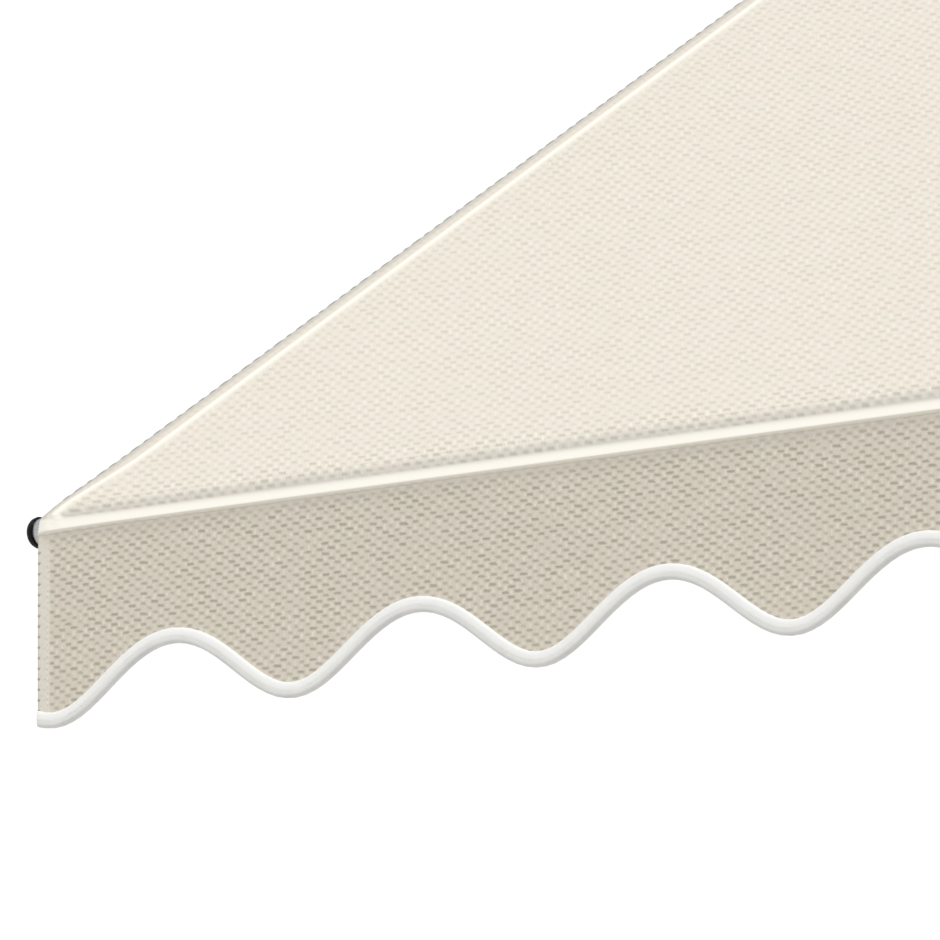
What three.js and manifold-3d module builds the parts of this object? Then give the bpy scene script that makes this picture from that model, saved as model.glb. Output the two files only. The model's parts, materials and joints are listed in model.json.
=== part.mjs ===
// A folding-arm awning, fully let out: a wall-hung square bar carries a fabric roller with its
// worm gear and two elbowed arms. The arms hold a round front tube, and the cloth runs from the
// roller down to the tube, round it, and hangs from it as a wavy bound valance.
//
// Frame: millimetres, +Z up. The wall is the plane Y = 0 and the awning reaches out along -Y.
// X runs along the wall, and the origin is on the wall, midway, level with the square bar's axis.

import * as THREE from 'three';
import { mergeVertices } from 'three/addons/utils/BufferGeometryUtils.js';
import Module from 'manifold-3d';

const wasm = await Module();
wasm.setup();

const rad = THREE.MathUtils.degToRad;

// ---------------------------------------------------------------- driving dimensions

const GAP = 0.3;                 // air between pieces that touch
const SLOPE = 31.5;              // fall of the cloth and of the plane that the arms fold in

// cloth
const WAVES = 8;                 // waves along the valance
const WAVE_PITCH = 290;
const WAVE_HEIGHT = 69;          // from a trough up to a crest
const WAVE_MARGIN = 20;          // from each side edge in to the first trough
const FABRIC_WIDTH = WAVES * WAVE_PITCH + 2 * WAVE_MARGIN;
const FABRIC_T = 1.2;
const VALANCE_DROP = 202;        // from the front tube's axis to the lowest point of the binding
const BINDING_HEIGHT = 13;
const BINDING_T = 4;
const ROLL_R = 33.5;             // the turns left on the roller when the awning is out

// front tube
const FRONT_TUBE_R = 14;
const FRONT_TUBE_WALL = 1.2;
const TUBE_BARE = 8.6;            // bare tube between the cloth and each end cap
const CAP_R = 16;
const CAP_DOME = 11.5;             // how far the end cap bulges

// square bar, in section, and how far its axis stands off the wall
const BAR_SIDE = 40;
const BAR_WALL = 2.5;
const BAR_HALF = 1215;
const BAR_OFF = 58;

// roller
const ROLLER_R = 30;
const ROLLER_WALL = 1.5;
const ROLLER_HALF = 1186;
const SUPPORT_X = 1197;          // inner face of each roller support
const SUPPORT_T = 8;
const BUSH_R = 12;
const AXLE_R = 7;                // plain axle at the left-hand end
const SHAFT_R = 8;               // driving shaft at the right-hand end

// where things stand across the slope: "down" runs down the slope, "up" square to it
const ROLLER_FROM_BAR = { down: -10, up: 80 };
const SHOULDER_FROM_BAR = { down: 78, up: 52 };
const CLOTH_OVER_ARMS = 63;      // outer face of the cloth over the middle of the arms
const TUBE_PAST_PIVOT = 30;      // front tube's axis down the slope from the front pivots

// arms
const SHOULDER_X = 1060;
const ARM_LENGTH = 800;          // between pivots, upper arm and forearm alike
const ARM_OPEN = 14;             // each arm's angle off the slope line when let out
const ARM_OFFSET = 25;           // an arm tube's axis from the line through its pivots
const ARM_WIDTH = 34;
const ARM_HEIGHT = 44;
const ARM_WALL = 1.8;
const COLLAR_NEAR = 40;          // where a casting's collar starts and ends, from its pivot
const COLLAR_FAR = 58;
const SPIGOT = 32;               // how far a casting reaches into its tube
const EYE_R = 21;                // round of metal about each pivot
const JOINT_CLEAR_R = 34;        // room that one casting leaves for the other at a pivot
const TONGUE_HALF = 12;          // half height of the elbow's tongue
const KNUCKLE_HALF = 16;         // half height of the shoulder and front knuckles
const EAR_T = 8;                 // thickness of the ears that hold a knuckle
const WEB_NEAR = 30;             // the web that joins those ears, from the pivot
const WEB_FAR = 44;
const WEB_OUTER = 30;            // its reach to the arm's free side, and to the side it swings to
const WEB_INNER = 8;
const PIN_R = 6;
const SPRING_R = 11;
const SPRING_TURNS = 14;
const SPRING_FROM = 180;         // where the spring starts and ends, from the shoulder
const SPRING_TO = 640;
const CABLE_R = 2.2;
const CABLE_BORE_R = 3.6;

// wall brackets
const BRACKET_X = 1142;
const BRACKET_WIDTH = 72;
const PLATE_T = 8;
const PLATE_HALF = 78;
const ANCHOR_HOLE_R = 6;
const ANCHOR_Z = 60;
const JAW_LIP = 12;              // thickness of the lip in front of the bar and the shelf under it
const CLAMP_BOLT_R = 4;
const CLAMP_BOLT_X = 22;         // from the bracket's middle to each clamp bolt

// worm gear at the right-hand end
const WHEEL_TEETH = 22;
const WHEEL_R = 17;
const WORM_R = 8;
const GEAR_CENTRES = 26;
const HOUSING_DEPTH = 34;
const EYE_RING_R = 12;
const EYE_WIRE_R = 3.5;
const HOUSING_WALL = 3;
const HOUSING_HALF = 26;         // half height of the housing
const WORM_SHAFT_R = 5;
const WORM_LEAD = 5;             // from one ridge of the worm to the next

// ---------------------------------------------------------------- finishes

const FINISHES = {
  cloth: { color: 0xe6dfd0, roughness: 0.9, metalness: 0 },
  binding: { color: 0xf4f2ee, roughness: 0.7, metalness: 0 },
  aluminium: { color: 0xb9bcbe, roughness: 0.4, metalness: 0.9 },
  paint: { color: 0xc9cbca, roughness: 0.5, metalness: 0.1 },
  black: { color: 0x111111, roughness: 0.5, metalness: 0 },
  zinc: { color: 0xa9abab, roughness: 0.35, metalness: 1 },
  steel: { color: 0x8b8e90, roughness: 0.35, metalness: 1 },
  brass: { color: 0xb08d4f, roughness: 0.4, metalness: 1 },
};

function addPiece(group, name, geometry, finish) {
  const mesh = new THREE.Mesh(geometry, new THREE.MeshStandardMaterial(FINISHES[finish]));
  mesh.name = name;
  group.add(mesh);
}

// ---------------------------------------------------------------- joining and cutting

function toSolid(geometry) {
  const bare = geometry.clone();
  bare.deleteAttribute('normal');
  bare.deleteAttribute('uv');
  const merged = mergeVertices(bare, 1e-4);
  return new wasm.Manifold(new wasm.Mesh({
    numProp: 3,
    vertProperties: new Float32Array(merged.attributes.position.array),
    triVerts: new Uint32Array(merged.index.array),
  }));
}

function toGeometry(solid) {
  const mesh = solid.getMesh();
  const geometry = new THREE.BufferGeometry();
  geometry.setAttribute('position', new THREE.BufferAttribute(mesh.vertProperties, 3));
  geometry.setIndex(new THREE.BufferAttribute(mesh.triVerts, 1));
  geometry.computeVertexNormals();
  return geometry;
}

function join(...geometries) {
  return toGeometry(geometries.map(toSolid).reduce((whole, part) => whole.add(part)));
}

function cut(geometry, ...tools) {
  return toGeometry(tools.map(toSolid).reduce((left, tool) => left.subtract(tool), toSolid(geometry)));
}

// ---------------------------------------------------------------- plain shapes

function circle(x, y, r, sides = 20) {
  return Array.from({ length: sides }, (_, i) => {
    const turn = (2 * Math.PI * i) / sides;
    return [x + r * Math.cos(turn), y + r * Math.sin(turn)];
  });
}

function rectangle(x0, x1, y0, y1) {
  return [[x0, y0], [x1, y0], [x1, y1], [x0, y1]];
}

function toPath(points, Kind) {
  return new Kind(points.map(([x, y]) => new THREE.Vector2(x, y)));
}

// An outline in X and Y, drawn out along Z.
function plate(points, low, high, holes = []) {
  const shape = toPath(points, THREE.Shape);
  shape.holes = holes.map((hole) => toPath(hole, THREE.Path));
  const geometry = new THREE.ExtrudeGeometry(shape, { depth: high - low, bevelEnabled: false });
  return geometry.translate(0, 0, low);
}

// An outline in Y and Z, drawn out along X.
function length(points, left, right, holes = []) {
  const turn = new THREE.Matrix4().set(0, 0, 1, 0, 1, 0, 0, 0, 0, 1, 0, 0, 0, 0, 0, 1);
  return plate(points, left, right, holes).applyMatrix4(turn);
}

function box(x0, x1, y0, y1, z0, z1) {
  return plate(rectangle(x0, x1, y0, y1), z0, z1);
}

// A profile of [radius, height] points turned about Z.
function turned(profile, sides = 16) {
  const points = profile.map(([r, h]) => new THREE.Vector2(r, h));
  return new THREE.LatheGeometry(points, sides).rotateX(Math.PI / 2);
}

// The smallest convex outline that holds all the points.
function hull(points) {
  const sorted = [...points].sort((a, b) => a[0] - b[0] || a[1] - b[1]);
  const turn = (o, a, b) => (a[0] - o[0]) * (b[1] - o[1]) - (a[1] - o[1]) * (b[0] - o[0]);
  const half = (list) => {
    const kept = [];
    for (const point of list) {
      while (kept.length > 1 && turn(kept.at(-2), kept.at(-1), point) <= 1e-9) kept.pop();
      kept.push(point);
    }
    return kept.slice(0, -1);
  };
  return [...half(sorted), ...half(sorted.reverse())];
}

// A headed bolt along Z: its shank runs from "tip" up to "seat", its hexagon head stands on top.
function bolt(x, y, tip, seat, shankR) {
  return join(
    plate(circle(x, y, shankR, 12), tip, seat + 1),
    plate(circle(x, y, shankR * 1.8, 6), seat, seat + shankR * 1.4),
  );
}

// ---------------------------------------------------------------- places

const slopeDown = new THREE.Vector3(0, -Math.cos(rad(SLOPE)), -Math.sin(rad(SLOPE)));
const slopeUp = new THREE.Vector3(0, -Math.sin(rad(SLOPE)), Math.cos(rad(SLOPE)));

function across(from, { down, up }) {
  return from.clone().addScaledVector(slopeDown, down).addScaledVector(slopeUp, up);
}

const barAxis = new THREE.Vector3(0, -BAR_OFF, 0);
const rollerAxis = across(barAxis, ROLLER_FROM_BAR);
const shoulderLine = across(barAxis, SHOULDER_FROM_BAR);
const reach = 2 * ARM_LENGTH * Math.cos(rad(ARM_OPEN));
const tubeUp = CLOTH_OVER_ARMS - FABRIC_T - GAP - FABRIC_T - GAP - FRONT_TUBE_R;
const frontTubeAxis = across(shoulderLine, { down: reach + TUBE_PAST_PIVOT, up: tubeUp });
const rollerDown = ROLLER_FROM_BAR.down - SHOULDER_FROM_BAR.down;

const awning = new THREE.Group();

// The slope group stands on the shoulder line: Y runs up the slope and Z square to it.
const slope = new THREE.Group();
slope.position.copy(shoulderLine);
slope.rotation.x = rad(SLOPE);
slope.updateMatrix();
awning.add(slope);

const bothHands = [{ hand: -1, name: 'left' }, { hand: 1, name: 'right' }];

// ---------------------------------------------------------------- square bar and wall brackets

const barHalf = BAR_SIDE / 2;
const barLow = -BAR_OFF - barHalf;
const barHigh = -BAR_OFF + barHalf;

function squareRing(half) {
  return rectangle(-BAR_OFF - half, -BAR_OFF + half, -half, half);
}

addPiece(awning, 'torsion_bar',
  length(squareRing(barHalf), -BAR_HALF, BAR_HALF, [squareRing(barHalf - BAR_WALL)]), 'paint');

function barPlug(hand) {
  const ends = [BAR_HALF - 16, BAR_HALF + GAP, BAR_HALF + 4].map((x) => hand * x);
  const head = length(squareRing(barHalf), Math.min(ends[1], ends[2]), Math.max(ends[1], ends[2]));
  const inside = squareRing(barHalf - BAR_WALL - GAP);
  return join(head, length(inside, Math.min(ends[0], ends[2]), Math.max(ends[0], ends[2])));
}

const jawLow = -barHalf - GAP;
const lipFar = barLow - JAW_LIP;
const lipTop = 6;
const clampTop = barHalf + GAP + PLATE_T;
const clampBoltY = -PLATE_T - 15;

function clampBoltHoles(x, low, high) {
  return [-CLAMP_BOLT_X, CLAMP_BOLT_X].map((dx) =>
    plate(circle(x + dx, clampBoltY, CLAMP_BOLT_R + GAP, 12), low, high));
}

// Back plate, shelf under the bar and a lip in front of it, bent and welded as one piece.
function wallBracket(x) {
  const profile = [
    [0, -PLATE_HALF], [-PLATE_T, -PLATE_HALF], [-PLATE_T, jawLow - JAW_LIP], [lipFar, jawLow - JAW_LIP],
    [lipFar, lipTop], [barLow - GAP, lipTop], [barLow - GAP, jawLow], [barHigh + GAP, jawLow],
    [barHigh + GAP, barHalf], [-PLATE_T, barHalf], [-PLATE_T, PLATE_HALF], [0, PLATE_HALF],
  ];
  const body = length(profile, x - BRACKET_WIDTH / 2, x + BRACKET_WIDTH / 2);
  const anchors = [-ANCHOR_Z, ANCHOR_Z].map((z) =>
    plate(circle(x, -z, ANCHOR_HOLE_R, 16), -1, PLATE_T + 1).rotateX(Math.PI / 2));
  return cut(body, ...anchors, ...clampBoltHoles(x, -8, barHalf + 1));
}

// The strap that lies over the bar and hooks down in front of the lip.
function clampStrap(x) {
  const profile = [
    [-PLATE_T - GAP, barHalf + GAP], [barLow - GAP, barHalf + GAP], [barLow - GAP, lipTop + GAP],
    [lipFar, lipTop + GAP], [lipFar, clampTop], [-PLATE_T - GAP, clampTop],
  ];
  const body = length(profile, x - BRACKET_WIDTH / 2, x + BRACKET_WIDTH / 2);
  return cut(body, ...clampBoltHoles(x, barHalf - 1, clampTop + 1));
}

for (const { hand, name } of bothHands) {
  const x = hand * BRACKET_X;
  addPiece(awning, `${name}_bar_plug`, barPlug(hand), 'black');
  addPiece(awning, `${name}_wall_bracket`, wallBracket(x), 'paint');
  addPiece(awning, `${name}_bar_clamp`, clampStrap(x), 'paint');
  for (const [place, dx] of [['outer', CLAMP_BOLT_X], ['inner', -CLAMP_BOLT_X]]) {
    const clampBolt = bolt(x + hand * dx, clampBoltY, -4, clampTop + GAP, CLAMP_BOLT_R);
    addPiece(awning, `${name}_clamp_bolt_${place}`, clampBolt, 'zinc');
  }
}

// ---------------------------------------------------------------- roller and its supports

const rollerY = rollerAxis.y;
const rollerZ = rollerAxis.z;

function rollerSupport(hand, boreR) {
  const outline = hull([...squareRing(barHalf + 7), ...circle(rollerY, rollerZ, 34, 32)]);
  const inner = hand * SUPPORT_X;
  const outer = hand * (SUPPORT_X + SUPPORT_T);
  return length(outline, Math.min(inner, outer), Math.max(inner, outer),
    [squareRing(barHalf + GAP), circle(rollerY, rollerZ, boreR)]);
}

function tubeEndPlug(hand, pinSection) {
  const rims = [ROLLER_HALF - 40, ROLLER_HALF + GAP, ROLLER_HALF + 4].map((x) => hand * x);
  const bore = circle(rollerY, rollerZ, ROLLER_R - ROLLER_WALL - GAP, 32);
  const rim = circle(rollerY, rollerZ, ROLLER_R, 32);
  const pinEnds = [ROLLER_HALF - 30, SUPPORT_X + SUPPORT_T].map((x) => hand * x);
  return join(
    length(bore, Math.min(rims[0], rims[2]), Math.max(rims[0], rims[2])),
    length(rim, Math.min(rims[1], rims[2]), Math.max(rims[1], rims[2])),
    length(pinSection, Math.min(...pinEnds), Math.max(...pinEnds)),
  );
}

addPiece(awning, 'roller_tube', length(circle(rollerY, rollerZ, ROLLER_R, 32), -ROLLER_HALF, ROLLER_HALF,
  [circle(rollerY, rollerZ, ROLLER_R - ROLLER_WALL, 32)]), 'zinc');
addPiece(awning, 'fabric_roll', length(circle(rollerY, rollerZ, ROLL_R, 36),
  -FABRIC_WIDTH / 2, FABRIC_WIDTH / 2, [circle(rollerY, rollerZ, ROLLER_R + GAP, 36)]), 'cloth');

addPiece(awning, 'left_roller_support', rollerSupport(-1, BUSH_R + GAP), 'paint');
addPiece(awning, 'right_roller_support', rollerSupport(1, SHAFT_R + 1), 'paint');
addPiece(awning, 'left_roller_plug', tubeEndPlug(-1, circle(rollerY, rollerZ, AXLE_R, 20)), 'black');

// The bush lies in the left support, with a flange on the roller's side.
const flangeIn = -SUPPORT_X + 3;
addPiece(awning, 'roller_bush', cut(
  join(
    length(circle(rollerY, rollerZ, BUSH_R), -SUPPORT_X - SUPPORT_T, flangeIn),
    length(circle(rollerY, rollerZ, BUSH_R + 4), -SUPPORT_X + GAP, flangeIn),
  ),
  length(circle(rollerY, rollerZ, AXLE_R + GAP), -SUPPORT_X - SUPPORT_T - 1, flangeIn + 1),
), 'black');

// ---------------------------------------------------------------- worm gear

const housingIn = SUPPORT_X + SUPPORT_T + GAP;
const housingOut = housingIn + HOUSING_DEPTH;
const wheelX = housingIn + 17;
const wormY = rollerY - GEAR_CENTRES;
const housingTop = rollerZ + HOUSING_HALF;
const housingLow = rollerZ - HOUSING_HALF;

function gearOutline(margin) {
  return hull([
    ...circle(rollerY, rollerZ, 24 + margin, 32),
    ...rectangle(wormY - 11 - margin, rollerY, housingLow + 3 - margin, housingTop - 3 + margin),
  ]);
}

// A shell that is open on its outer side, where the cover closes it.
addPiece(awning, 'gear_housing', cut(
  length(gearOutline(HOUSING_WALL), housingIn, housingOut),
  length(gearOutline(0), housingIn + HOUSING_WALL, housingOut + 1),
  length(circle(rollerY, rollerZ, SHAFT_R + 1), housingIn - 1, housingIn + HOUSING_WALL + 1),
  plate(circle(wheelX, wormY, WORM_SHAFT_R + GAP, 16), housingLow - 10, housingLow + 6),
), 'paint');
addPiece(awning, 'gear_cover',
  length(gearOutline(HOUSING_WALL), housingOut + GAP, housingOut + HOUSING_WALL), 'paint');

function gearTeeth() {
  const points = [];
  for (let tooth = 0; tooth < WHEEL_TEETH; tooth += 1) {
    for (const [part, r] of [[0, WHEEL_R - 2], [0.3, WHEEL_R - 2], [0.42, WHEEL_R], [0.88, WHEEL_R]]) {
      const turn = (2 * Math.PI * (tooth + part)) / WHEEL_TEETH;
      points.push([rollerY + r * Math.cos(turn), rollerZ + r * Math.sin(turn)]);
    }
  }
  return points;
}

// The wheel is one casting with the shaft that drives the roller through its plug.
addPiece(awning, 'worm_wheel', join(
  length(gearTeeth(), wheelX - 6, wheelX + 6),
  length(circle(rollerY, rollerZ, SHAFT_R), SUPPORT_X - 6, wheelX + 12),
), 'brass');
addPiece(awning, 'right_roller_plug', cut(
  tubeEndPlug(1, circle(rollerY, rollerZ, SHAFT_R + 4)),
  length(circle(rollerY, rollerZ, SHAFT_R + GAP), SUPPORT_X - 7, SUPPORT_X + 20),
  length(circle(rollerY, rollerZ, 40), SUPPORT_X - 1, SUPPORT_X + 20),
), 'black');

// Worm, its shaft out of the housing's underside, and the eye that the crank hooks into.
function wormShaft() {
  const r = WORM_SHAFT_R;
  const profile = [[0, housingTop - 6], [r, housingTop - 6], [r, rollerZ + 14]];
  for (let thread = 2; thread >= -2; thread -= 1) {
    const z = rollerZ + thread * WORM_LEAD;
    profile.push([WORM_R - 2, z + 2], [WORM_R, z + 0.8], [WORM_R, z - 0.8], [WORM_R - 2, z - 2]);
  }
  const neck = housingLow - 16;
  profile.push([r, rollerZ - 14], [r, neck], [0, neck]);
  const ring = new THREE.TorusGeometry(EYE_RING_R, EYE_WIRE_R, 6, 18).rotateX(Math.PI / 2);
  return join(turned(profile.reverse(), 10), ring.translate(0, 0, neck - EYE_RING_R + 1))
    .translate(wheelX, wormY, 0);
}
addPiece(awning, 'worm_shaft', wormShaft(), 'steel');

// ---------------------------------------------------------------- arm castings

// Arm pieces are drawn with the pivot at 0, the arm along +X and its offset to +Y ("ext" of 1)
// or to -Y ("ext" of -1). All are symmetric about Z = 0.
function armEnd(ext) {
  const near = ext * (ARM_OFFSET - ARM_WIDTH / 2);
  const far = ext * (ARM_OFFSET + ARM_WIDTH / 2);
  const half = ARM_HEIGHT / 2;
  const slack = ARM_WALL + GAP;
  const cheek = hull([...circle(0, 0, EYE_R), [COLLAR_NEAR, near], [COLLAR_NEAR, far]]);
  const collar = rectangle(COLLAR_NEAR - 1, COLLAR_FAR, near, far);
  const spigot = box(COLLAR_FAR - 1, COLLAR_FAR + SPIGOT,
    Math.min(near, far) + slack, Math.max(near, far) - slack, -half + slack, half - slack);
  return join(plate(cheek, -half, half), plate(collar, -half, half), spigot);
}

function pivotHole() {
  return plate(circle(0, 0, PIN_R + GAP), -40, 40);
}

function cableBore(ext) {
  return length(circle(ext * ARM_OFFSET, 0, CABLE_BORE_R, 12), -6, COLLAR_FAR + SPIGOT + 2);
}

function fork(ext) {
  const slot = plate(circle(0, 0, JOINT_CLEAR_R), -TONGUE_HALF - GAP, TONGUE_HALF + GAP);
  return cut(armEnd(ext), slot, pivotHole(), cableBore(ext));
}

// A tongue or knuckle: lower than its tube about the pivot, so that ears fit over and under it.
function tongue(ext, halfHeight, bores) {
  const above = plate(circle(0, 0, JOINT_CLEAR_R), halfHeight, 40);
  const below = plate(circle(0, 0, JOINT_CLEAR_R), -40, -halfHeight);
  return cut(armEnd(ext), above, below, pivotHole(), ...bores);
}

function armTube(ext) {
  const y = ext * ARM_OFFSET;
  const w = ARM_WIDTH / 2;
  const h = ARM_HEIGHT / 2;
  const start = COLLAR_FAR + GAP;
  return length(rectangle(y - w, y + w, -h, h), start, ARM_LENGTH - start,
    [rectangle(y - w + ARM_WALL, y + w - ARM_WALL, -h + ARM_WALL, h - ARM_WALL)]);
}

// A long tension spring that lies in the upper arm.
function armSpring(ext) {
  class Helix extends THREE.Curve {
    getPoint(t) {
      const turn = 2 * Math.PI * SPRING_TURNS * t;
      const x = SPRING_FROM + (SPRING_TO - SPRING_FROM) * t;
      const y = ext * ARM_OFFSET + SPRING_R * Math.cos(turn);
      return new THREE.Vector3(x, y, SPRING_R * Math.sin(turn));
    }
  }
  return new THREE.ExtrudeGeometry(toPath(circle(0, 0, 1.8, 4), THREE.Shape),
    { steps: SPRING_TURNS * 7, extrudePath: new Helix(), bevelEnabled: false });
}

// The cable runs from the spring through the fork, round the outside of the tongue's eye, and
// into the forearm. The elbow's pivot is at 0 and the upper arm lies along -X.
function elbowCable(ext) {
  const bend = rad(2 * ARM_OPEN);
  const points = [160, 120, 80, 40, 15].map((back) => new THREE.Vector3(-back, ext * ARM_OFFSET, 0));
  for (const share of [0, 0.25, 0.5, 0.75, 1]) {
    const turn = Math.PI / 2 - bend * share;
    const at = new THREE.Vector3(Math.cos(turn), ext * Math.sin(turn), 0);
    points.push(at.multiplyScalar(ARM_OFFSET));
  }
  const along = new THREE.Vector3(Math.cos(bend), -ext * Math.sin(bend), 0);
  const last = points.at(-1);
  for (const further of [15, 50, 85]) points.push(last.clone().addScaledVector(along, further));
  const path = new THREE.CatmullRomCurve3(points, false, 'centripetal');
  return new THREE.ExtrudeGeometry(toPath(circle(0, 0, CABLE_R, 6), THREE.Shape),
    { steps: 24, extrudePath: path, bevelEnabled: false });
}

function headedPin(halfGrip) {
  return turned([
    [0, -halfGrip - 5], [PIN_R + 3, -halfGrip - 5], [PIN_R + 3, -halfGrip - GAP],
    [PIN_R, -halfGrip - GAP], [PIN_R, halfGrip + 4], [0, halfGrip + 4],
  ]);
}

// ---------------------------------------------------------------- brackets that hold the knuckles

// Ears over and under a knuckle, joined by a web behind it. Y runs from the pivot to the web, and
// the web keeps clear of the arm, which swings to the side "inward".
function knuckleEars(inward) {
  const ends = [-WEB_OUTER * inward, WEB_INNER * inward];
  const web = rectangle(Math.min(...ends), Math.max(...ends), WEB_NEAR, WEB_FAR);
  const inner = KNUCKLE_HALF + GAP;
  const solid = plate(hull([...circle(0, 0, EYE_R - 1), ...web]), -inner - EAR_T, inner + EAR_T);
  return cut(solid, plate(circle(0, 0, JOINT_CLEAR_R), -inner, inner), pivotHole());
}

// The shoulder's ears stand on an arm that reaches forward from a collar round the square bar.
function shoulderBracket(hand) {
  const x = hand * SHOULDER_X;
  const ears = knuckleEars(-hand).translate(x, 0, 0).applyMatrix4(slope.matrix);
  const collarSection = squareRing(barHalf + 8);
  const collar = length(collarSection, x - WEB_OUTER, x + WEB_OUTER);
  const webFoot = rectangle(WEB_NEAR + 4, WEB_FAR, -KNUCKLE_HALF - EAR_T, -2);
  const footAcross = webFoot.map(([y, z]) => new THREE.Vector3(0, y, z).applyMatrix4(slope.matrix));
  const reachSection = hull([...footAcross.map((v) => [v.y, v.z]), ...collarSection]);
  const ends = [x + hand * WEB_OUTER, x - hand * WEB_INNER];
  const forward = length(reachSection, Math.min(...ends), Math.max(...ends));
  const barRoom = length(squareRing(barHalf + GAP), x - 2 * WEB_OUTER, x + 2 * WEB_OUTER);
  const screwHole = plate(circle(x, -BAR_OFF, 5 + GAP, 12), -barHalf - 20, -barHalf + 2);
  return cut(join(ears, collar, forward), barRoom, screwHole);
}

function setScrew(hand) {
  const screw = bolt(0, 0, 0, 8.5, 5).rotateX(Math.PI);
  return screw.translate(hand * SHOULDER_X, -BAR_OFF, -barHalf - GAP);
}

// Ears for the front knuckle with a cradle on top that grips the front tube from below.
function frontBracket(hand) {
  const ears = knuckleEars(hand).rotateZ(Math.PI);
  const top = KNUCKLE_HALF + EAR_T;
  const cradle = box(-26, 26, -WEB_FAR, -12, top - 2, tubeUp);
  const tube = length(circle(-TUBE_PAST_PIVOT, tubeUp, FRONT_TUBE_R + GAP, 24), -60, 60);
  // Clear of the valance, which hangs plumb in front.
  const plumbRoom = box(-60, 60, -120, -FRONT_TUBE_R + 1, -150, 60).rotateX(-rad(SLOPE));
  return cut(join(ears, cradle), tube, plumbRoom.translate(0, -TUBE_PAST_PIVOT, tubeUp));
}

for (const { hand, name } of bothHands) {
  addPiece(awning, `${name}_shoulder_bracket`, shoulderBracket(hand), 'paint');
  addPiece(awning, `${name}_set_screw`, setScrew(hand), 'zinc');

  const shoulder = new THREE.Group();
  shoulder.position.set(hand * SHOULDER_X, 0, 0);
  slope.add(shoulder);
  addPiece(shoulder, `${name}_shoulder_pin`, headedPin(KNUCKLE_HALF + GAP + EAR_T), 'zinc');

  // The arm points down the slope, turned inward by ARM_OPEN; the offset is on the outer side
  // of the elbow's bend.
  const ext = -hand;
  const upper = new THREE.Group();
  upper.rotation.z = -Math.PI / 2 - hand * rad(ARM_OPEN);
  shoulder.add(upper);
  addPiece(upper, `${name}_shoulder_knuckle`, tongue(ext, KNUCKLE_HALF, []), 'paint');
  addPiece(upper, `${name}_upper_arm_tube`, armTube(ext), 'aluminium');
  addPiece(upper, `${name}_arm_spring`, armSpring(ext), 'steel');

  const elbow = new THREE.Group();
  elbow.position.set(ARM_LENGTH, 0, 0);
  upper.add(elbow);
  addPiece(elbow, `${name}_elbow_fork`, fork(-ext).rotateZ(Math.PI), 'paint');
  addPiece(elbow, `${name}_elbow_pin`, headedPin(ARM_HEIGHT / 2), 'zinc');
  addPiece(elbow, `${name}_elbow_cable`, elbowCable(ext), 'steel');

  const fore = new THREE.Group();
  fore.rotation.z = 2 * hand * rad(ARM_OPEN);
  elbow.add(fore);
  addPiece(fore, `${name}_elbow_tongue`, tongue(ext, TONGUE_HALF, [cableBore(ext)]), 'paint');
  addPiece(fore, `${name}_forearm_tube`, armTube(ext), 'aluminium');

  const wrist = new THREE.Group();
  wrist.position.set(ARM_LENGTH, 0, 0);
  fore.add(wrist);
  addPiece(wrist, `${name}_front_knuckle`, tongue(-ext, KNUCKLE_HALF, []).rotateZ(Math.PI), 'paint');

  const front = new THREE.Group();
  front.position.set(hand * SHOULDER_X, -reach, 0);
  slope.add(front);
  addPiece(front, `${name}_front_bracket`, frontBracket(hand), 'paint');
  addPiece(front, `${name}_front_pin`, headedPin(KNUCKLE_HALF + GAP + EAR_T), 'zinc');
}

// ---------------------------------------------------------------- front tube and its end caps

const tubeHalf = FABRIC_WIDTH / 2 + TUBE_BARE;

function aroundTube(r) {
  return circle(0, 0, r, 28);
}

const frontTube = new THREE.Group();
frontTube.position.copy(frontTubeAxis);
awning.add(frontTube);
addPiece(frontTube, 'front_tube', length(aroundTube(FRONT_TUBE_R), -tubeHalf, tubeHalf,
  [aroundTube(FRONT_TUBE_R - FRONT_TUBE_WALL)]), 'aluminium');

// A domed cap: a flattened half ball outside the tube and a plug that fills its end.
function endCap(hand) {
  const plugR = FRONT_TUBE_R - FRONT_TUBE_WALL - GAP;
  const profile = [[0, -14], [plugR, -14], [plugR, GAP], [CAP_R, GAP]];
  const steps = 5;
  for (let i = 0; i < steps; i += 1) {
    const turn = (Math.PI / 2) * (i / steps);
    profile.push([CAP_R * Math.cos(turn), GAP + 1 + CAP_DOME * Math.sin(turn)]);
  }
  profile.push([0, GAP + 1 + CAP_DOME]);
  return turned(profile, 24).rotateY((hand * Math.PI) / 2).translate(hand * tubeHalf, 0, 0);
}

for (const { hand, name } of bothHands) addPiece(frontTube, `${name}_end_cap`, endCap(hand), 'black');

// ---------------------------------------------------------------- cloth

const clothHalf = FABRIC_WIDTH / 2;
const pocketInner = FRONT_TUBE_R + GAP;
const pocketOuter = pocketInner + FABRIC_T;

// The pocket sewn round the tube, with a window behind for each front bracket.
function pocket() {
  const sleeve = length(aroundTube(pocketOuter), -clothHalf, clothHalf, [aroundTube(pocketInner)]);
  const windows = bothHands.map(({ hand }) => {
    const opening = box(-28, 28, -22, 20, -30, 1);
    return opening.rotateX(rad(SLOPE)).translate(hand * SHOULDER_X, 0, 0);
  });
  return cut(sleeve, ...windows);
}
addPiece(frontTube, 'fabric_pocket', pocket(), 'cloth');

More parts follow.
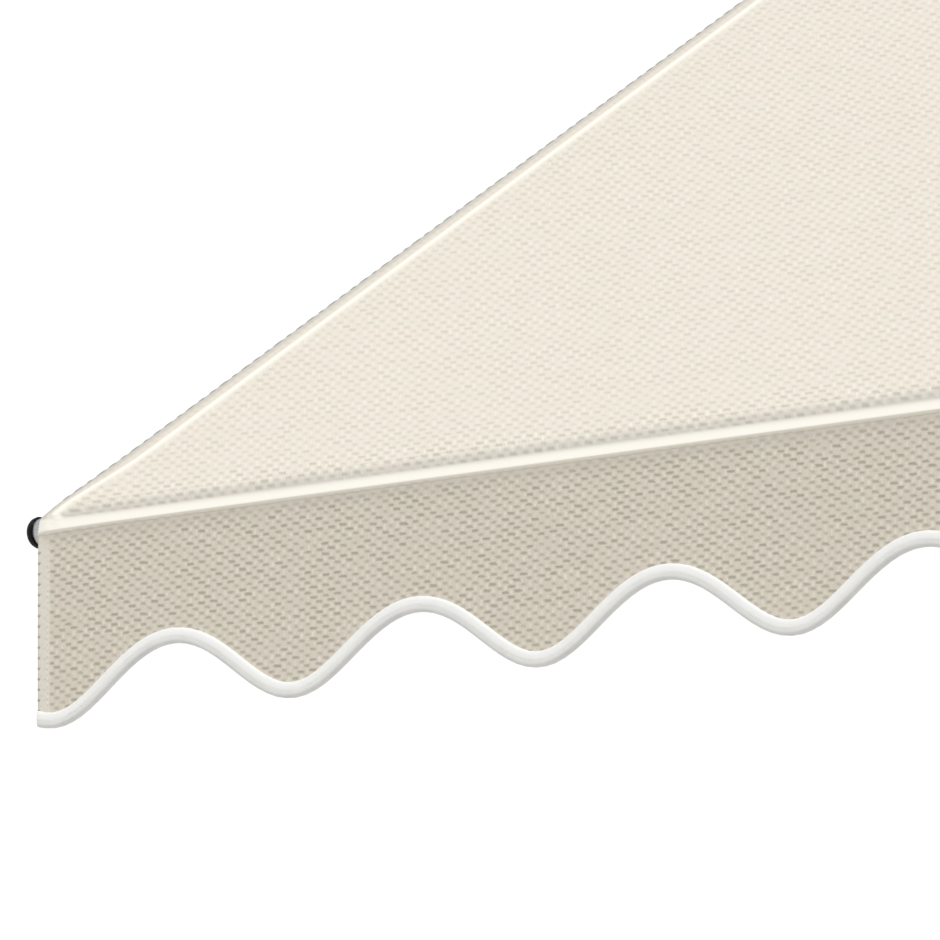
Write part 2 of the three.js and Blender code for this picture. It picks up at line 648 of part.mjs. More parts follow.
// Points along the valance's wave, moved square to it by "offset". At an offset of 0 they are on
// the binding's middle line. They run a step past each side edge, where the pieces are trimmed.
function wavePoints(offset) {
  const middle = -VALANCE_DROP + BINDING_HEIGHT / 2 + WAVE_HEIGHT / 2;
  const swing = WAVE_HEIGHT / 2;
  const steps = WAVES * 10;
  const step = FABRIC_WIDTH / steps;
  return Array.from({ length: steps + 3 }, (_, i) => {
    const x = -clothHalf + step * (i - 1);
    const turn = (2 * Math.PI * (x + clothHalf - WAVE_MARGIN)) / WAVE_PITCH;
    const climb = ((swing * 2 * Math.PI) / WAVE_PITCH) * Math.sin(turn);
    const square = offset / Math.hypot(1, climb);
    return [x - climb * square, middle - swing * Math.cos(turn) + square];
  });
}

const valanceMiddle = pocketOuter - FABRIC_T / 2;
const seamDepth = (BINDING_HEIGHT - BINDING_T + FABRIC_T) / 2;

// A plumb sheet of the given thickness, in line with the front of the tube.
function hanging(points, thickness) {
  const sheet = plate(points, valanceMiddle - thickness / 2, valanceMiddle + thickness / 2);
  const room = box(-clothHalf, clothHalf, -40, 0, -VALANCE_DROP - 10, 0);
  return toGeometry(toSolid(sheet.rotateX(Math.PI / 2)).intersect(toSolid(room)));
}

// The valance starts just under the pocket's widest line, and its lower edge is bound.
addPiece(frontTube, 'valance', hanging(
  [[2 * clothHalf, -pocketOuter / 2], [-2 * clothHalf, -pocketOuter / 2], ...wavePoints(-seamDepth)],
  FABRIC_T), 'cloth');

// The binding is a tape folded up over the edge, so it has a slot for the cloth along its top.
function waveBand(low, high, thickness) {
  return hanging([...wavePoints(high).reverse(), ...wavePoints(low)], thickness);
}
addPiece(frontTube, 'valance_binding', cut(
  waveBand(-BINDING_HEIGHT / 2, BINDING_HEIGHT / 2, BINDING_T),
  waveBand(-seamDepth - GAP, BINDING_HEIGHT, FABRIC_T + 2 * GAP)), 'binding');

// The canopy lies tangent to the roll and to the pocket.
addPiece(slope, 'canopy', box(-clothHalf, clothHalf, -reach - TUBE_PAST_PIVOT, -rollerDown,
  CLOTH_OVER_ARMS - FABRIC_T, CLOTH_OVER_ARMS), 'cloth');

export default awning;
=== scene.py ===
# %% [markdown]
# # A folding-arm awning, fully let out
# The awning hangs on a wall by a square bar. A roller over the bar holds the cloth, two elbowed
# arms push a round front tube away from the wall, and the cloth runs down the slope, round that
# tube, and hangs from it as a wavy valance. The metal comes finished in shape from the CAD model,
# which this script loads as a frame that never moves. The script's own work is the cloth, which is
# soft and so is drawn here as real sheets with thickness, hems and stitches, the wire rope at each
# elbow, and the finish of every surface. Everything is in metres: X along the wall, Y into it,
# Z up.

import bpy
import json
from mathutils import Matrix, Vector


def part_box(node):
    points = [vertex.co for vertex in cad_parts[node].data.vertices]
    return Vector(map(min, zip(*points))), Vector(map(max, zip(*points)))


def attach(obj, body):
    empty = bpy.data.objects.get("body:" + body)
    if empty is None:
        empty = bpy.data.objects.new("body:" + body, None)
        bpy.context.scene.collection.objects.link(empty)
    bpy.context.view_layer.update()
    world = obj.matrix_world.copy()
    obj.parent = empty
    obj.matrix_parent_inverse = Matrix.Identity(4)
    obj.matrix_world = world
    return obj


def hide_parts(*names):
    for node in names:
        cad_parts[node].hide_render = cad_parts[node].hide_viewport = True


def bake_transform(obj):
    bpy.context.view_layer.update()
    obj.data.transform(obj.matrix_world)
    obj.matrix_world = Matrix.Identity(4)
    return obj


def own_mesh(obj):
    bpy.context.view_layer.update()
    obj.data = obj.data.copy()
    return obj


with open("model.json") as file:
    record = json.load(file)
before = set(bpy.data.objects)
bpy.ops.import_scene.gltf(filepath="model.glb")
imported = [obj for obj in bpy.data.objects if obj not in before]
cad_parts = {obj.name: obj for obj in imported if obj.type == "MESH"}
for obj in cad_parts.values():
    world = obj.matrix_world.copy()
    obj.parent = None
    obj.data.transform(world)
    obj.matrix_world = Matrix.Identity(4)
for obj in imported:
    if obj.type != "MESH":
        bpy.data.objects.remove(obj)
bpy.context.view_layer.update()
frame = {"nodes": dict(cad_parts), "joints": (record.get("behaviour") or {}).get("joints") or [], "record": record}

# %% [markdown]
# ## Places that everything else hangs on
# The cloth lies in a plane that falls away from the wall. The shoulder joint's axis stands square
# to that plane, so it gives the slope, and the direction up the slope is square to both it and X.
# The front tube and the roller give the two lines that the cloth is stretched between.

# %% The slope and its two lines
import json
import math
from collections import namedtuple

import bmesh
import bpy
from mathutils import Vector

MM = 0.001
ALONG_WALL = Vector((1, 0, 0))
joints = {joint["name"]: joint for joint in frame["joints"]}
square = Vector(joints["left_shoulder"]["axis"])
up_slope = square.cross(ALONG_WALL)


def middle(node):
    low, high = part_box(node)
    return (low + high) / 2


def radius(node):
    low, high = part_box(node)
    return (high.z - low.z) / 2


def pivot_of(joint):
    return Vector(joints[joint]["pos_m"])


tube_axis = middle("front_tube")
roller_axis = middle("roller_tube")
half_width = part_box("valance")[1].x
width = 2 * half_width
slope_length = (roller_axis - tube_axis).dot(up_slope)
print("slope", round(math.degrees(math.atan2(up_slope.z, up_slope.y)), 2), "degrees,",
      round(slope_length, 4), "m between tube and roller, cloth", width, "m wide")

# %% Helpers for places
def on_slope(up, over):
    """A point so far up the slope from the front tube's axis, and so far over it."""
    return tube_axis + up_slope * up + square * over


def round_line(axis, radius_there, turn):
    """A point about a line along X, and the way out. At turn 0 it is over the line, and it turns
    towards the wall."""
    out = up_slope * math.sin(turn) + square * math.cos(turn)
    return axis + out * radius_there, out


def eased(t):
    """0 below 0, 1 above 1, and a soft S between."""
    t = min(max(t, 0), 1)
    return t * t * (3 - 2 * t)


def steps(start, end, count):
    return [start + (end - start) * i / count for i in range(count + 1)]


def ring_turns(count):
    """Even turns round a ring."""
    return [2 * math.pi * k / count for k in range(count)]


print("a soft S in five steps:", [round(eased(t), 3) for t in steps(0, 1, 4)])

# %% [markdown]
# ## A sheet of cloth with thickness
# Cloth could be a single surface with a Solidify modifier, but a hem is thicker than the cloth
# beside it, and its folded edge is round. So each sheet is a closed skin built row by row: a face
# side and a back side, joined along all four edges. Each point also carries four marks for the
# material: how strongly the weave shows, how much paler it is painted, for threads pressed smooth
# and for a painted highlight, how much painted shade lies there, and how far the gaps lean. The UV
# map counts threads, so the weave runs round a bend as it does in real cloth.

# %% A mesh in the making
MARKS = ("weave", "pale", "shade", "lean")


def add_object(name, data):
    thing = bpy.data.objects.new(name, data)
    bpy.context.scene.collection.objects.link(thing)
    return thing


class Skin:
    """A mesh in the making, with the marks and the thread count of each point."""

    def __init__(self):
        self.bm = bmesh.new()
        self.marks = [self.bm.verts.layers.float.new(name) for name in MARKS]
        self.threads = {}

    def point(self, place, threads=(0, 0), marks=(0, 0, 0, 0)):
        vert = self.bm.verts.new(place)
        self.threads[vert] = threads
        for layer, value in zip(self.marks, marks):
            vert[layer] = value
        return vert

    def face(self, *verts):
        return self.bm.faces.new(verts)

    def join(self, rings):
        """Faces from each ring of points to the next."""
        for first, second in zip(rings, rings[1:]):
            for k in range(len(first)):
                j = (k + 1) % len(first)
                self.face(first[k], first[j], second[j], second[k])

    def rod(self, rings):
        """A rod through the rings, closed at both ends."""
        self.join(rings)
        self.face(*rings[0])
        self.face(*reversed(rings[-1]))

    def make(self, name, body, material):
        uv = self.bm.loops.layers.uv.new("threads")
        bmesh.ops.recalc_face_normals(self.bm, faces=self.bm.faces)
        for face in self.bm.faces:
            face.smooth = True
            for loop in face.loops:
                loop[uv].uv = self.threads[loop.vert]
        mesh = bpy.data.meshes.new(name)
        self.bm.to_mesh(mesh)
        self.bm.free()
        mesh.materials.append(material)
        piece = add_object(name, mesh)
        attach(piece, body)
        print(name, "has", len(mesh.polygons), "faces")
        return piece


print("marks on each point:", ", ".join(MARKS))

# %% One closed sheet
CLOTH = 1.2 * MM
THREAD_ACROSS = 7.05 * MM

# How the weave runs: how far each weft row is set over from the last, how much the rows rise, how
# far a gap leans, and the height of a row.
Weave = namedtuple("Weave", "slant skew lean row")
HUNG = Weave(0.0, 0.066, 0.0, 5.1 * MM)
STRETCHED = Weave(0.655, 0.02, 1.0, 15.6 * MM)


def add_sheet(skin, across, rows, row_at, lift, marks_at):
    """One closed sheet. row_at(row, x) gives a point of its middle, the way out of its face, how
    the weave runs there and how many weft rows down it is; lift(row, x, side) gives the distance
    from the middle to each side."""
    sides = {}
    for side in (1, -1):
        sides[side] = []
        for row in rows:
            line = []
            for x in across:
                point, out, (run, rows_down) = row_at(row, x)
                place = point + ALONG_WALL * x + out * lift(row, x, side)
                column = x / THREAD_ACROSS
                threads = (column + run.slant * rows_down, rows_down + run.skew * column)
                line.append(skin.point(place, threads, (*marks_at(row, x), run.lean)))
            sides[side].append(line)
    for grid in sides.values():
        for upper, lower in zip(grid, grid[1:]):
            for a, b, c, d in zip(upper, upper[1:], lower[1:], lower):
                skin.face(a, b, c, d)
    face, back = sides[1], sides[-1]
    for end in (0, -1):
        for j in range(len(across) - 1):
            cut = skin.face(face[end][j], face[end][j + 1], back[end][j + 1], back[end][j])
            for edge in cut.edges:
                edge.smooth = False
        for i in range(len(rows) - 1):
            skin.face(face[i][end], face[i + 1][end], back[i + 1][end], back[i][end])


def evenly(thickness):
    """The lift of a sheet that is equally thick all over."""
    return lambda row, x, side: side * thickness / 2


print("cloth", round(CLOTH / MM, 1), "mm thick, rows", round(HUNG.row / MM, 1), "mm high where it hangs")

# %% [markdown]
# ## The hem down each side
# The cloth is folded over a cord along its sides and sewn, so the edge doesn't flutter. Seen
# across, the hem is a round fold at the edge, a double layer that droops a little outwards, and a
# raised bead over the cord on its inner side. Just above the tube the cord is drawn out towards
# the edge. On the valance it has stopped, and the hem is narrower and flat. One formula gives
# both, from how far a point lies in from the edge and how much of the bead is left.

# %% The hem's shape
VALANCE_HEM = 15 * MM
BEAD_IN = 30 * MM
BEAD_HALF = 8.5 * MM
BEAD_HEIGHT = 1.4 * MM
FOLD_ROUND = 2.2 * MM
HEM_ENDS_IN = 2.5 * MM
FLAT_HEM = 0.35
EDGE_DROOP = 0.4 * MM
DRAWN_SIDEWAYS = 15 * MM
DRAWN_BEYOND = 45 * MM
DRAWN_UP = 150 * MM


def from_edge(x):
    return half_width - abs(x)


def bead_share(x):
    """1 on top of the bead, and 0 beside it."""
    return math.cos(math.pi / 2 * min(abs(from_edge(x) - BEAD_IN) / BEAD_HALF, 1)) ** 2


def hem_width(bead):
    return VALANCE_HEM + (BEAD_IN + BEAD_HALF - VALANCE_HEM) * bead


def doubled(x, bead):
    """1 on the hem, where the cloth lies double, and 0 beyond it."""
    return eased((hem_width(bead) - from_edge(x)) / HEM_ENDS_IN)


def hem_lift(x, side, bead):
    """From the middle of the cloth out to its face, with side 1, or to its back, with side -1."""
    inward = from_edge(x)
    fold = 1 - (1 - min(inward / FOLD_ROUND, 1)) ** 2
    layers = CLOTH / 2 + CLOTH * (FLAT_HEM + (1 - FLAT_HEM) * bead) * doubled(x, bead)
    droop = EDGE_DROOP * bead * max(1 - inward / VALANCE_HEM, 0) ** 2
    raised = BEAD_HEIGHT * bead * bead_share(x) if side > 0 else 0
    return side * layers * math.sqrt(fold) + raised - droop


def drawn_out(x, up):
    """How far the bead is drawn sideways to the edge, as it comes down to the tube."""
    inward = from_edge(x)
    share = eased(inward / BEAD_IN) * (1 - eased((inward - BEAD_IN) / DRAWN_BEYOND))
    return math.copysign(DRAWN_SIDEWAYS * share * (1 - eased(up / DRAWN_UP)), x)


print("hem", round(hem_width(1) / MM, 1), "mm wide on the canopy and", round(hem_width(0) / MM, 1),
      "mm on the valance")

# %% Places across the cloth
HEM_COLUMNS = [e * MM for e in (0, 0.25, 0.7, 1.4, 2.4, 4, 6.5, 9.5, 12.5, 14, 15.2, 16.5, 18,
                                20, 21.5, 23.5, 26, 30, 33, 35.5, 37.5, 39.5, 43, 48, 56)]


def both_edges(left, step_count, inner):
    """Places from the left edge inwards, even steps between, and the same places at the right."""
    return left + steps(-inner, inner, step_count) + [-x for x in reversed(left)]


def columns(step):
    """Fine over the hems, and evenly spaced between them."""
    inner = half_width - HEM_COLUMNS[-1]
    left = [-half_width + e for e in HEM_COLUMNS[:-1]]
    return both_edges(left, 2 * math.ceil(inner / step), inner)


print(len(columns(24 * MM)), "columns at 24 mm apart")

# %% [markdown]
# ## Nodes for the finishes
# A procedural finish is a small calculation at every point of the surface. Each method here adds
# one node and joins it up, so that a material below reads as a list of steps. A value that is the
# same all over is set straight on the shader, and only what changes over the surface is wired.

# %% A finish in the making
class Finish:
    """A material in the making. Most methods add a node and give back what comes out of it."""

    def __init__(self, name, **values):
        self.material = bpy.data.materials.new(name)
        self.material.use_nodes = True
        self.tree = self.material.node_tree
        self.shader = self.tree.nodes["Principled BSDF"]
        for key, value in values.items():
            self.shader.inputs[key.replace("_", " ")].default_value = value

    def connect(self, value, socket):
        if isinstance(value, bpy.types.NodeSocket):
            self.tree.links.new(value, socket)
        else:
            socket.default_value = value

    def add(self, kind, *values, **settings):
        """A node with these settings, and with a value or a link on each of its first inputs."""
        node = self.tree.nodes.new(kind)
        for key, setting in settings.items():
            setattr(node, key, setting)
        for value, socket in zip(values, node.inputs):
            self.connect(value, socket)
        return node

    def calc(self, operation, *values):
        return self.add("ShaderNodeMath", *values, operation=operation).outputs[0]

    def ramp(self, value, start, end, low=0.0, high=1.0):
        """An eased ramp from low to high as value goes from start to end."""
        return self.add("ShaderNodeMapRange", value, start, end, low, high,
                        interpolation_type="SMOOTHSTEP").outputs["Result"]

    def blend(self, share, first, second):
        node = self.add("ShaderNodeMix", data_type="RGBA")
        for name, value in (("Factor", share), ("A", first), ("B", second)):
            self.connect(value, node.inputs[name])
        return node.outputs["Result"]

    def mark(self, name):
        return self.add("ShaderNodeAttribute", attribute_name=name).outputs["Fac"]

    def place(self, space="Object"):
        return self.add("ShaderNodeTexCoord").outputs[space]

    def noise(self, scale, detail=2.0, place=None):
        node = self.add("ShaderNodeTexNoise", place or self.place())
        node.inputs["Scale"].default_value = scale
        node.inputs["Detail"].default_value = detail
        return node.outputs["Fac"]

    def wire(self, name, value):
        self.tree.links.new(value, self.shader.inputs[name])

    def tones(self, share, first, second):
        """Wire a blend of two colours to the shader."""
        self.wire("Base Color", self.blend(share, first, second))

    def dull(self, *ramp):
        """Wire a roughness that changes along a ramp."""
        self.wire("Roughness", self.ramp(*ramp))

    def bump(self, height, depth):
        node = self.add("ShaderNodeBump")
        node.inputs["Distance"].default_value = depth
        self.connect(height, node.inputs["Height"])
        self.wire("Normal", node.outputs["Normal"])


print("a finish can add:", ", ".join(name for name in vars(Finish) if name[0] != "_"))

# %% [markdown]
# ## Woven awning cloth
# The cloth is a plain weave of heavy spun yarn: each weft thread goes over one warp thread and
# under the next, and the next row does it the other way round. What the eye reads is a brickwork
# of short dark gaps under the weft. A picture of cloth would blur close up, so the gaps are worked
# out from the thread count: each row of bricks is set over by one thread, half a brick, and a gap
# is dark where a point is near the middle of its brick and close to the middle of the row. Noise
# bends the rows, and makes every gap a little longer, shorter, paler or darker than its
# neighbours. Where the marks say that the threads are pressed smooth, on the ridge, beads and
# hems, the gaps close up.

# %% Gaps and high threads
BEND_ACROSS = 0.8
BEND_DOWN = 0.5
RAGGED_ACROSS = 0.7
RAGGED_DOWN = 0.35
GAP_TILT = -0.25
GAP_LEAN = -0.983
GAP_REACH = 0.26
GAP_VARIES = 0.12
GAP_SOFT = 0.20


def woven_threads(finish):
    """How far a point is into a dark gap, and onto a bright raised thread, from 0 to 1."""
    calc, ramp = finish.calc, finish.ramp
    threads = finish.add("ShaderNodeUVMap", uv_map="threads").outputs["UV"]
    split = finish.add("ShaderNodeSeparateXYZ", threads).outputs
    bend = calc("SUBTRACT", finish.noise(0.42, place=threads), 0.5)
    ragged = calc("SUBTRACT", finish.noise(2.6, place=threads), 0.5)
    across = calc("MULTIPLY_ADD", bend, BEND_ACROSS, split["X"])
    across = calc("MULTIPLY_ADD", ragged, RAGGED_ACROSS, across)
    down = calc("MULTIPLY_ADD", bend, BEND_DOWN, split["Y"])
    down = calc("MULTIPLY_ADD", ragged, RAGGED_DOWN, down)
    row = calc("FLOOR", down)
    upright = calc("SUBTRACT", calc("FRACT", down), 0.5)
    lean = calc("MULTIPLY", calc("MULTIPLY", finish.mark("lean"), GAP_LEAN), upright)
    brick = calc("MULTIPLY_ADD", calc("ADD", across, row), 0.5, lean)
    pair = finish.add("ShaderNodeCombineXYZ", calc("FLOOR", brick), row).outputs[0]
    own = finish.add("ShaderNodeTexWhiteNoise", pair, noise_dimensions="2D").outputs
    sideways = calc("SUBTRACT", calc("FRACT", brick), 0.5)
    upright = calc("ABSOLUTE", calc("MULTIPLY_ADD", sideways, GAP_TILT, upright))
    sideways = calc("ABSOLUTE", sideways)
    reach = calc("MULTIPLY_ADD", own["Value"], GAP_VARIES, GAP_REACH)
    inside = ramp(sideways, calc("SUBTRACT", reach, GAP_SOFT), reach, 1.0, 0.0)
    gap = calc("MULTIPLY", inside, ramp(upright, 0.06, 0.46, 1.0, 0.0))
    gap = calc("MULTIPLY", gap, calc("MULTIPLY_ADD", own["Value"], 0.5, 0.5))
    other = finish.add("ShaderNodeSeparateColor", own["Color"]).outputs["Green"]
    return gap, calc("MULTIPLY", ramp(sideways, 0.33, 0.46), other)


print("a gap reaches", GAP_REACH, "to", round(GAP_REACH + GAP_VARIES, 2), "of a brick each way")

# %% The cloth's finish
THREAD_COLOUR = (0.655, 0.61, 0.515, 1)
WARM_THREAD_COLOUR = (0.665, 0.60, 0.515, 1)
HIGH_THREAD_COLOUR = (0.83, 0.78, 0.68, 1)
GAP_COLOUR = (0.44, 0.405, 0.325, 1)
PRESSED_AND_HIGHLIGHT_COLOUR = (0.86, 0.825, 0.75, 1)
PAINTED_SHADE_COLOUR = (0.285, 0.273, 0.256, 1)


def cloth_finish():
    finish = Finish("woven_cloth", Roughness=0.88, Specular_IOR_Level=0.25, Sheen_Weight=0.08,
                    Sheen_Roughness=0.5)
    calc, blend = finish.calc, finish.blend
    gap, high = woven_threads(finish)
    weave = finish.mark("weave")
    dark = calc("MULTIPLY", gap, weave)
    bright = calc("MULTIPLY", calc("MULTIPLY", high, weave), 0.8)
    lint = finish.noise(700.0, 3.0)
    patches = finish.ramp(finish.noise(28.0, 3.0), 0.35, 0.65)
    colour = blend(patches, THREAD_COLOUR, WARM_THREAD_COLOUR)
    colour = blend(calc("MULTIPLY", lint, 0.14), colour, HIGH_THREAD_COLOUR)
    colour = blend(bright, colour, HIGH_THREAD_COLOUR)
    colour = blend(dark, colour, GAP_COLOUR)
    # Where the pale mark says so, the colour goes pale: threads pressed smooth, and a painted highlight.
    colour = blend(finish.mark("pale"), colour, PRESSED_AND_HIGHLIGHT_COLOUR)
    # Painted shade: where the shade mark says so, the cloth is darkened towards a grey, unevenly.
    shade = calc("MULTIPLY", finish.mark("shade"), calc("MULTIPLY_ADD", lint, 0.3, 0.35))
    finish.tones(shade, colour, PAINTED_SHADE_COLOUR)
    relief = calc("SUBTRACT", calc("MULTIPLY", bright, 0.5), dark)
    finish.bump(calc("MULTIPLY_ADD", lint, 0.12, relief), 0.5 * MM)
    return finish.material


cloth = cloth_finish()
print("the cloth's finish has", len(cloth.node_tree.nodes), "nodes")

# %% [markdown]
# ## The canopy
# The canopy is one sheet stretched from the roller to the front tube. It could be simulated, but
# stretched cloth hardly sags, so its shape is given by formula: straight up the slope, a few
# millimetres of belly in the middle, faint pull lines behind the tube, and a slight swell at the
# front, before the cloth is drawn down over the tube. It stops at the seam of the tube's pocket,
# because the cloth beyond belongs to the part that rides on the front tube. It is painted a little
# paler than the valance, with painted shade over the top of the tube and on the folded side edges.

# %% The canopy's shape
SEAM_UP = 26 * MM
SWELL = 1.2 * MM
SWELL_REACH = 150 * MM
BELLY = 7 * MM
PULL = 0.7 * MM
PULL_APART = 41 * MM
BENDS_OFF = 0.05
NEAR_ROLL = 200 * MM
AIR = 0.3 * MM
PROUD = 0.9 * MM

canopy_length = slope_length - SEAM_UP
tube_wrap = radius("fabric_pocket") + PROUD - CLOTH / 2
roll_wrap = radius("fabric_roll") + AIR + CLOTH / 2
over_roller = (roller_axis - tube_axis).dot(square) + roll_wrap


def canopy_middle(up, x):
    """How far over the tube's axis the cloth is. It bends smoothly off the roller."""
    share = (up - SEAM_UP) / canopy_length
    left = 1 - share
    off_roller = left / (left + BENDS_OFF)
    plain = over_roller - (over_roller - tube_wrap) * (1 + BENDS_OFF) * left * off_roller
    swell = SWELL * (1 - eased((up - SEAM_UP) / SWELL_REACH))
    edge = eased((from_edge(x) - 40 * MM) / (250 * MM))
    belly = BELLY * math.sin(math.pi * share) * off_roller * edge
    pull = PULL * math.sin(x / PULL_APART) * eased(share / 0.03) * left ** 6 * edge
    return plain + swell - belly + pull


def canopy_lift(up, x, side):
    """The hem is as thick below as above, but where it meets the roll it all lies above."""
    at_roll = 1 - eased((slope_length - up) / NEAR_ROLL)
    return hem_lift(x, side, 1) + CLOTH * doubled(x, 1) * at_roll


def canopy_row(up, x):
    place = on_slope(up, canopy_middle(up, x)) + ALONG_WALL * drawn_out(x, up)
    return place, square, (STRETCHED, -up / STRETCHED.row)


print("the canopy is", round(canopy_length, 4), "m from seam to roller")

# %% The canopy's marks and its mesh
WEAVE_FAR = 0.52
WEAVE_NEARER = 0.42
# How much paler the canopy is painted than the valance, away from its hems.
CANOPY_PALER = 0.09
# How dark the painted shade over the top of the tube is.
SEAM_SHADE_PAINTED = 0.75
# How dark the painted shade on the folded side edges is.
EDGE_SHADE_PAINTED = 0.85


def seam_shade(up):
    """Painted shade over the top of the tube, just behind the ridge."""
    return eased(1 - abs(up - 2 * MM) / (26 * MM)) ** 1.6


def canopy_marks(up, x):
    inward = from_edge(x)
    bead = bead_share(x)
    on_hem = eased((hem_width(1) - inward) / (3 * MM))
    weave = WEAVE_FAR + WEAVE_NEARER * eased(1 - up / (90 * MM))
    weave = weave * (1 - 0.6 * on_hem) * (1 - bead)
    # Painted shade on the folded side edge: darkest at the rim, fading in across the hem.
    edge_shade = EDGE_SHADE_PAINTED * (1 - eased((inward - 4 * MM) / (15 * MM)))
    # The bead is painted pale, for its pressed threads and as a painted highlight; the rest of the canopy is
    # painted a little paler than the valance.
    pale = max(0.9 * bead ** 0.6, CANOPY_PALER * (1 - on_hem))
    return weave, pale, max(SEAM_SHADE_PAINTED * seam_shade(up) * (1 - on_hem), edge_shade)


up_rows = [SEAM_UP + e * MM for e in (0.2, 2, 4, 7, 10, 14, 18, 22, 26, 30, 34, 40, 50, 65, 85)]
up_rows += steps(140 * MM, slope_length, 52)
skin = Skin()
add_sheet(skin, columns(24 * MM), up_rows, canopy_row, canopy_lift, canopy_marks)
canopy = skin.make("canopy_cloth", "frame", cloth)
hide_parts("canopy")

# %% [markdown]
# ## The arm's pivots, and meshes of their own
# When the arms fold, the real cloth winds onto the roller. A sheet can't wind here. This step
# reads the shoulder pivot, the front pivot and the arm's length, and gives the canopy and its
# stitches meshes of their own; it doesn't shorten them.

# %% The arm's pivots
shoulder = pivot_of("left_shoulder")
front_pivot = pivot_of("left_front_pivot")
arm = (pivot_of("left_elbow") - shoulder).length


def shortens(piece):
    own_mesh(piece)


shortens(canopy)

# %% [markdown]
# ## Over the tube and down into the valance
# The same cloth goes on over the front tube and hangs plumb in front of it. It is one sheet, from
# the pocket's seam to the waves: over the top of the tube, a piped ridge where the valance begins,
# then the flat drop. The ridge could be a separate cord laid on the cloth, but the cloth is sewn
# round it, so the sheet itself rises over it. Round a cord the threads are pulled tight and lie
# flat: it reads as a smooth line, painted pale and with a painted highlight. The lower edge
# follows a cosine with slightly fuller flanks, so the rows of the drop are shared out between the
# ridge and the wave, column by column.

# %% The valance's waves
WAVES = 8
FIRST_TROUGH = 20 * MM
BARE_BINDING = 13 * MM
WAVE_RAISED = 2.5 * MM
FULL_FLANKS = 3.2 * MM
SWAY = 1.8 * MM

binding_low, binding_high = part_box("valance_binding")
wave_height = binding_high.z - binding_low.z - BARE_BINDING
wave_middle = (binding_low.z + binding_high.z) / 2 + WAVE_RAISED
wave_pitch = (width - 2 * FIRST_TROUGH) / WAVES


def wave_turn(x):
    return 2 * math.pi * (x + half_width - FIRST_TROUGH) / wave_pitch


def wave(x):
    """Height of the binding's middle line."""
    turn = wave_turn(x)
    return wave_middle - wave_height / 2 * math.cos(turn) + FULL_FLANKS * math.sin(turn) ** 2


def wave_slope(x):
    turn = wave_turn(x)
    rate = wave_height / 2 * math.sin(turn) + FULL_FLANKS * math.sin(2 * turn)
    return rate * 2 * math.pi / wave_pitch


def sway(x, z):
    """How far the hanging cloth stands forward of the plumb line: a lazy ripple, most at the foot."""
    drop = max(tube_axis.z - z, 0) / (tube_axis.z - binding_low.z)
    return SWAY * drop ** 2 * math.sin(x / (83 * MM) + 0.6)


print(WAVES, "waves,", round(wave_pitch, 4), "m apart and", round(wave_height, 4), "m high")

# %% The path round the tube
FORWARD = Vector((0, -1, 0))
PIPING_OUT = 4.2 * MM
PIPING_UP = -0.2 * MM
PIPING_HALF = 5.6 * MM
PIPING_WIDER = 1.4 * MM
PIPING_FACE = 0.8
PIPING_CREST = 12
PIPING_LONGER = 1.25
INTO_TAPE = 3 * MM

front_turn = -math.acos(FORWARD.dot(square))
seam_over = canopy_middle(SEAM_UP, 0)
OVER, ROUND, PIPED, DROP = range(4)


def turn_at_height(height):
    """How far round the tube, forward of its top, the path is at a height over the tube's axis."""
    return front_turn + math.asin(height / tube_wrap)


def piping_half(x):
    return PIPING_HALF + PIPING_WIDER * (1 - eased(from_edge(x) / (90 * MM)))


def piping_rise(t, x):
    """Out of the path: an even slope that faces up, then a quick turn under. It is less at the
    ends, where the piping is cut short."""
    slope = math.exp(-PIPING_CREST * t / PIPING_FACE)
    lip = math.exp(-PIPING_CREST * (1 - t) / (1 - PIPING_FACE))
    rise = max(-math.log(slope + lip) / PIPING_CREST, 0)
    return PIPING_OUT * rise * (0.3 + 0.7 * eased(from_edge(x) / (16 * MM)))


def front_path(row, x):
    """A point of the sheet's middle, at x = 0, and how far down the path it is."""
    part, t = row
    if part == OVER:
        over = tube_wrap + (seam_over - tube_wrap) * eased(1 - t)
        return on_slope(SEAM_UP * (1 - t), over), SEAM_UP * t
    half = piping_half(x)
    starts = turn_at_height(PIPING_UP + half)
    if part == ROUND:
        return round_line(tube_axis, tube_wrap, starts * t)[0], SEAM_UP - tube_wrap * starts * t
    top = round_line(tube_axis, tube_wrap, starts)[0]
    foot = Vector((0, tube_axis.y - tube_wrap, tube_axis.z + PIPING_UP - half))
    gone = SEAM_UP - tube_wrap * starts
    way = foot - top
    if part == PIPED:
        out = Vector((0, way.z, -way.y)).normalized()
        return top + way * t + out * piping_rise(t, x), gone + PIPING_LONGER * way.length * t
    z = foot.z + (wave(x) - INTO_TAPE - foot.z) * t
    gone += PIPING_LONGER * way.length + foot.z - z
    return Vector((0, foot.y - sway(x, z), z)), gone


above_waves = front_path((DROP, 0), 0)[1]
print("from seam to the flat drop:", round(above_waves / MM, 1), "mm")

# %% Rows of the sheet, their places and their marks
LOOSE = 0.75

front_rows = [(OVER, t) for t in steps(0, 1, 6)[:-1]] + [(ROUND, t) for t in steps(0, 1, 8)[:-1]]
front_rows += [(PIPED, t) for t in steps(0, 0.64, 6) + steps(0.68, 0.96, 7)]
front_rows += [(DROP, t) for t in [0, 0.015, 0.035, 0.065, 0.1] + steps(0.14, 1, 18)]


def bead_left(row):
    part, t = row
    return {OVER: 1, ROUND: 1 - 0.5 * eased(t), PIPED: 0.5 - 0.5 * eased(t), DROP: 0}[part]


def front_row_at(row, x):
    """The path's point, with the way out found from its neighbours just before and after."""
    part, t = row
    point, gone = front_path(row, x)
    before, after = max(t - 0.02, 0), min(t + 0.02, 1)
    way = front_path((part, after), x)[0] - front_path((part, before), x)[0]
    out = Vector((0, way.z, -way.y)).normalized()
    up = SEAM_UP * (1 - t) if part == OVER else 0
    point = point + ALONG_WALL * drawn_out(x, up) * bead_left(row)
    if part == DROP:
        return point, out, (HUNG, (gone - front_path((DROP, 0), x)[1]) / HUNG.row)
    return point, out, (STRETCHED, (gone - SEAM_UP) / STRETCHED.row)


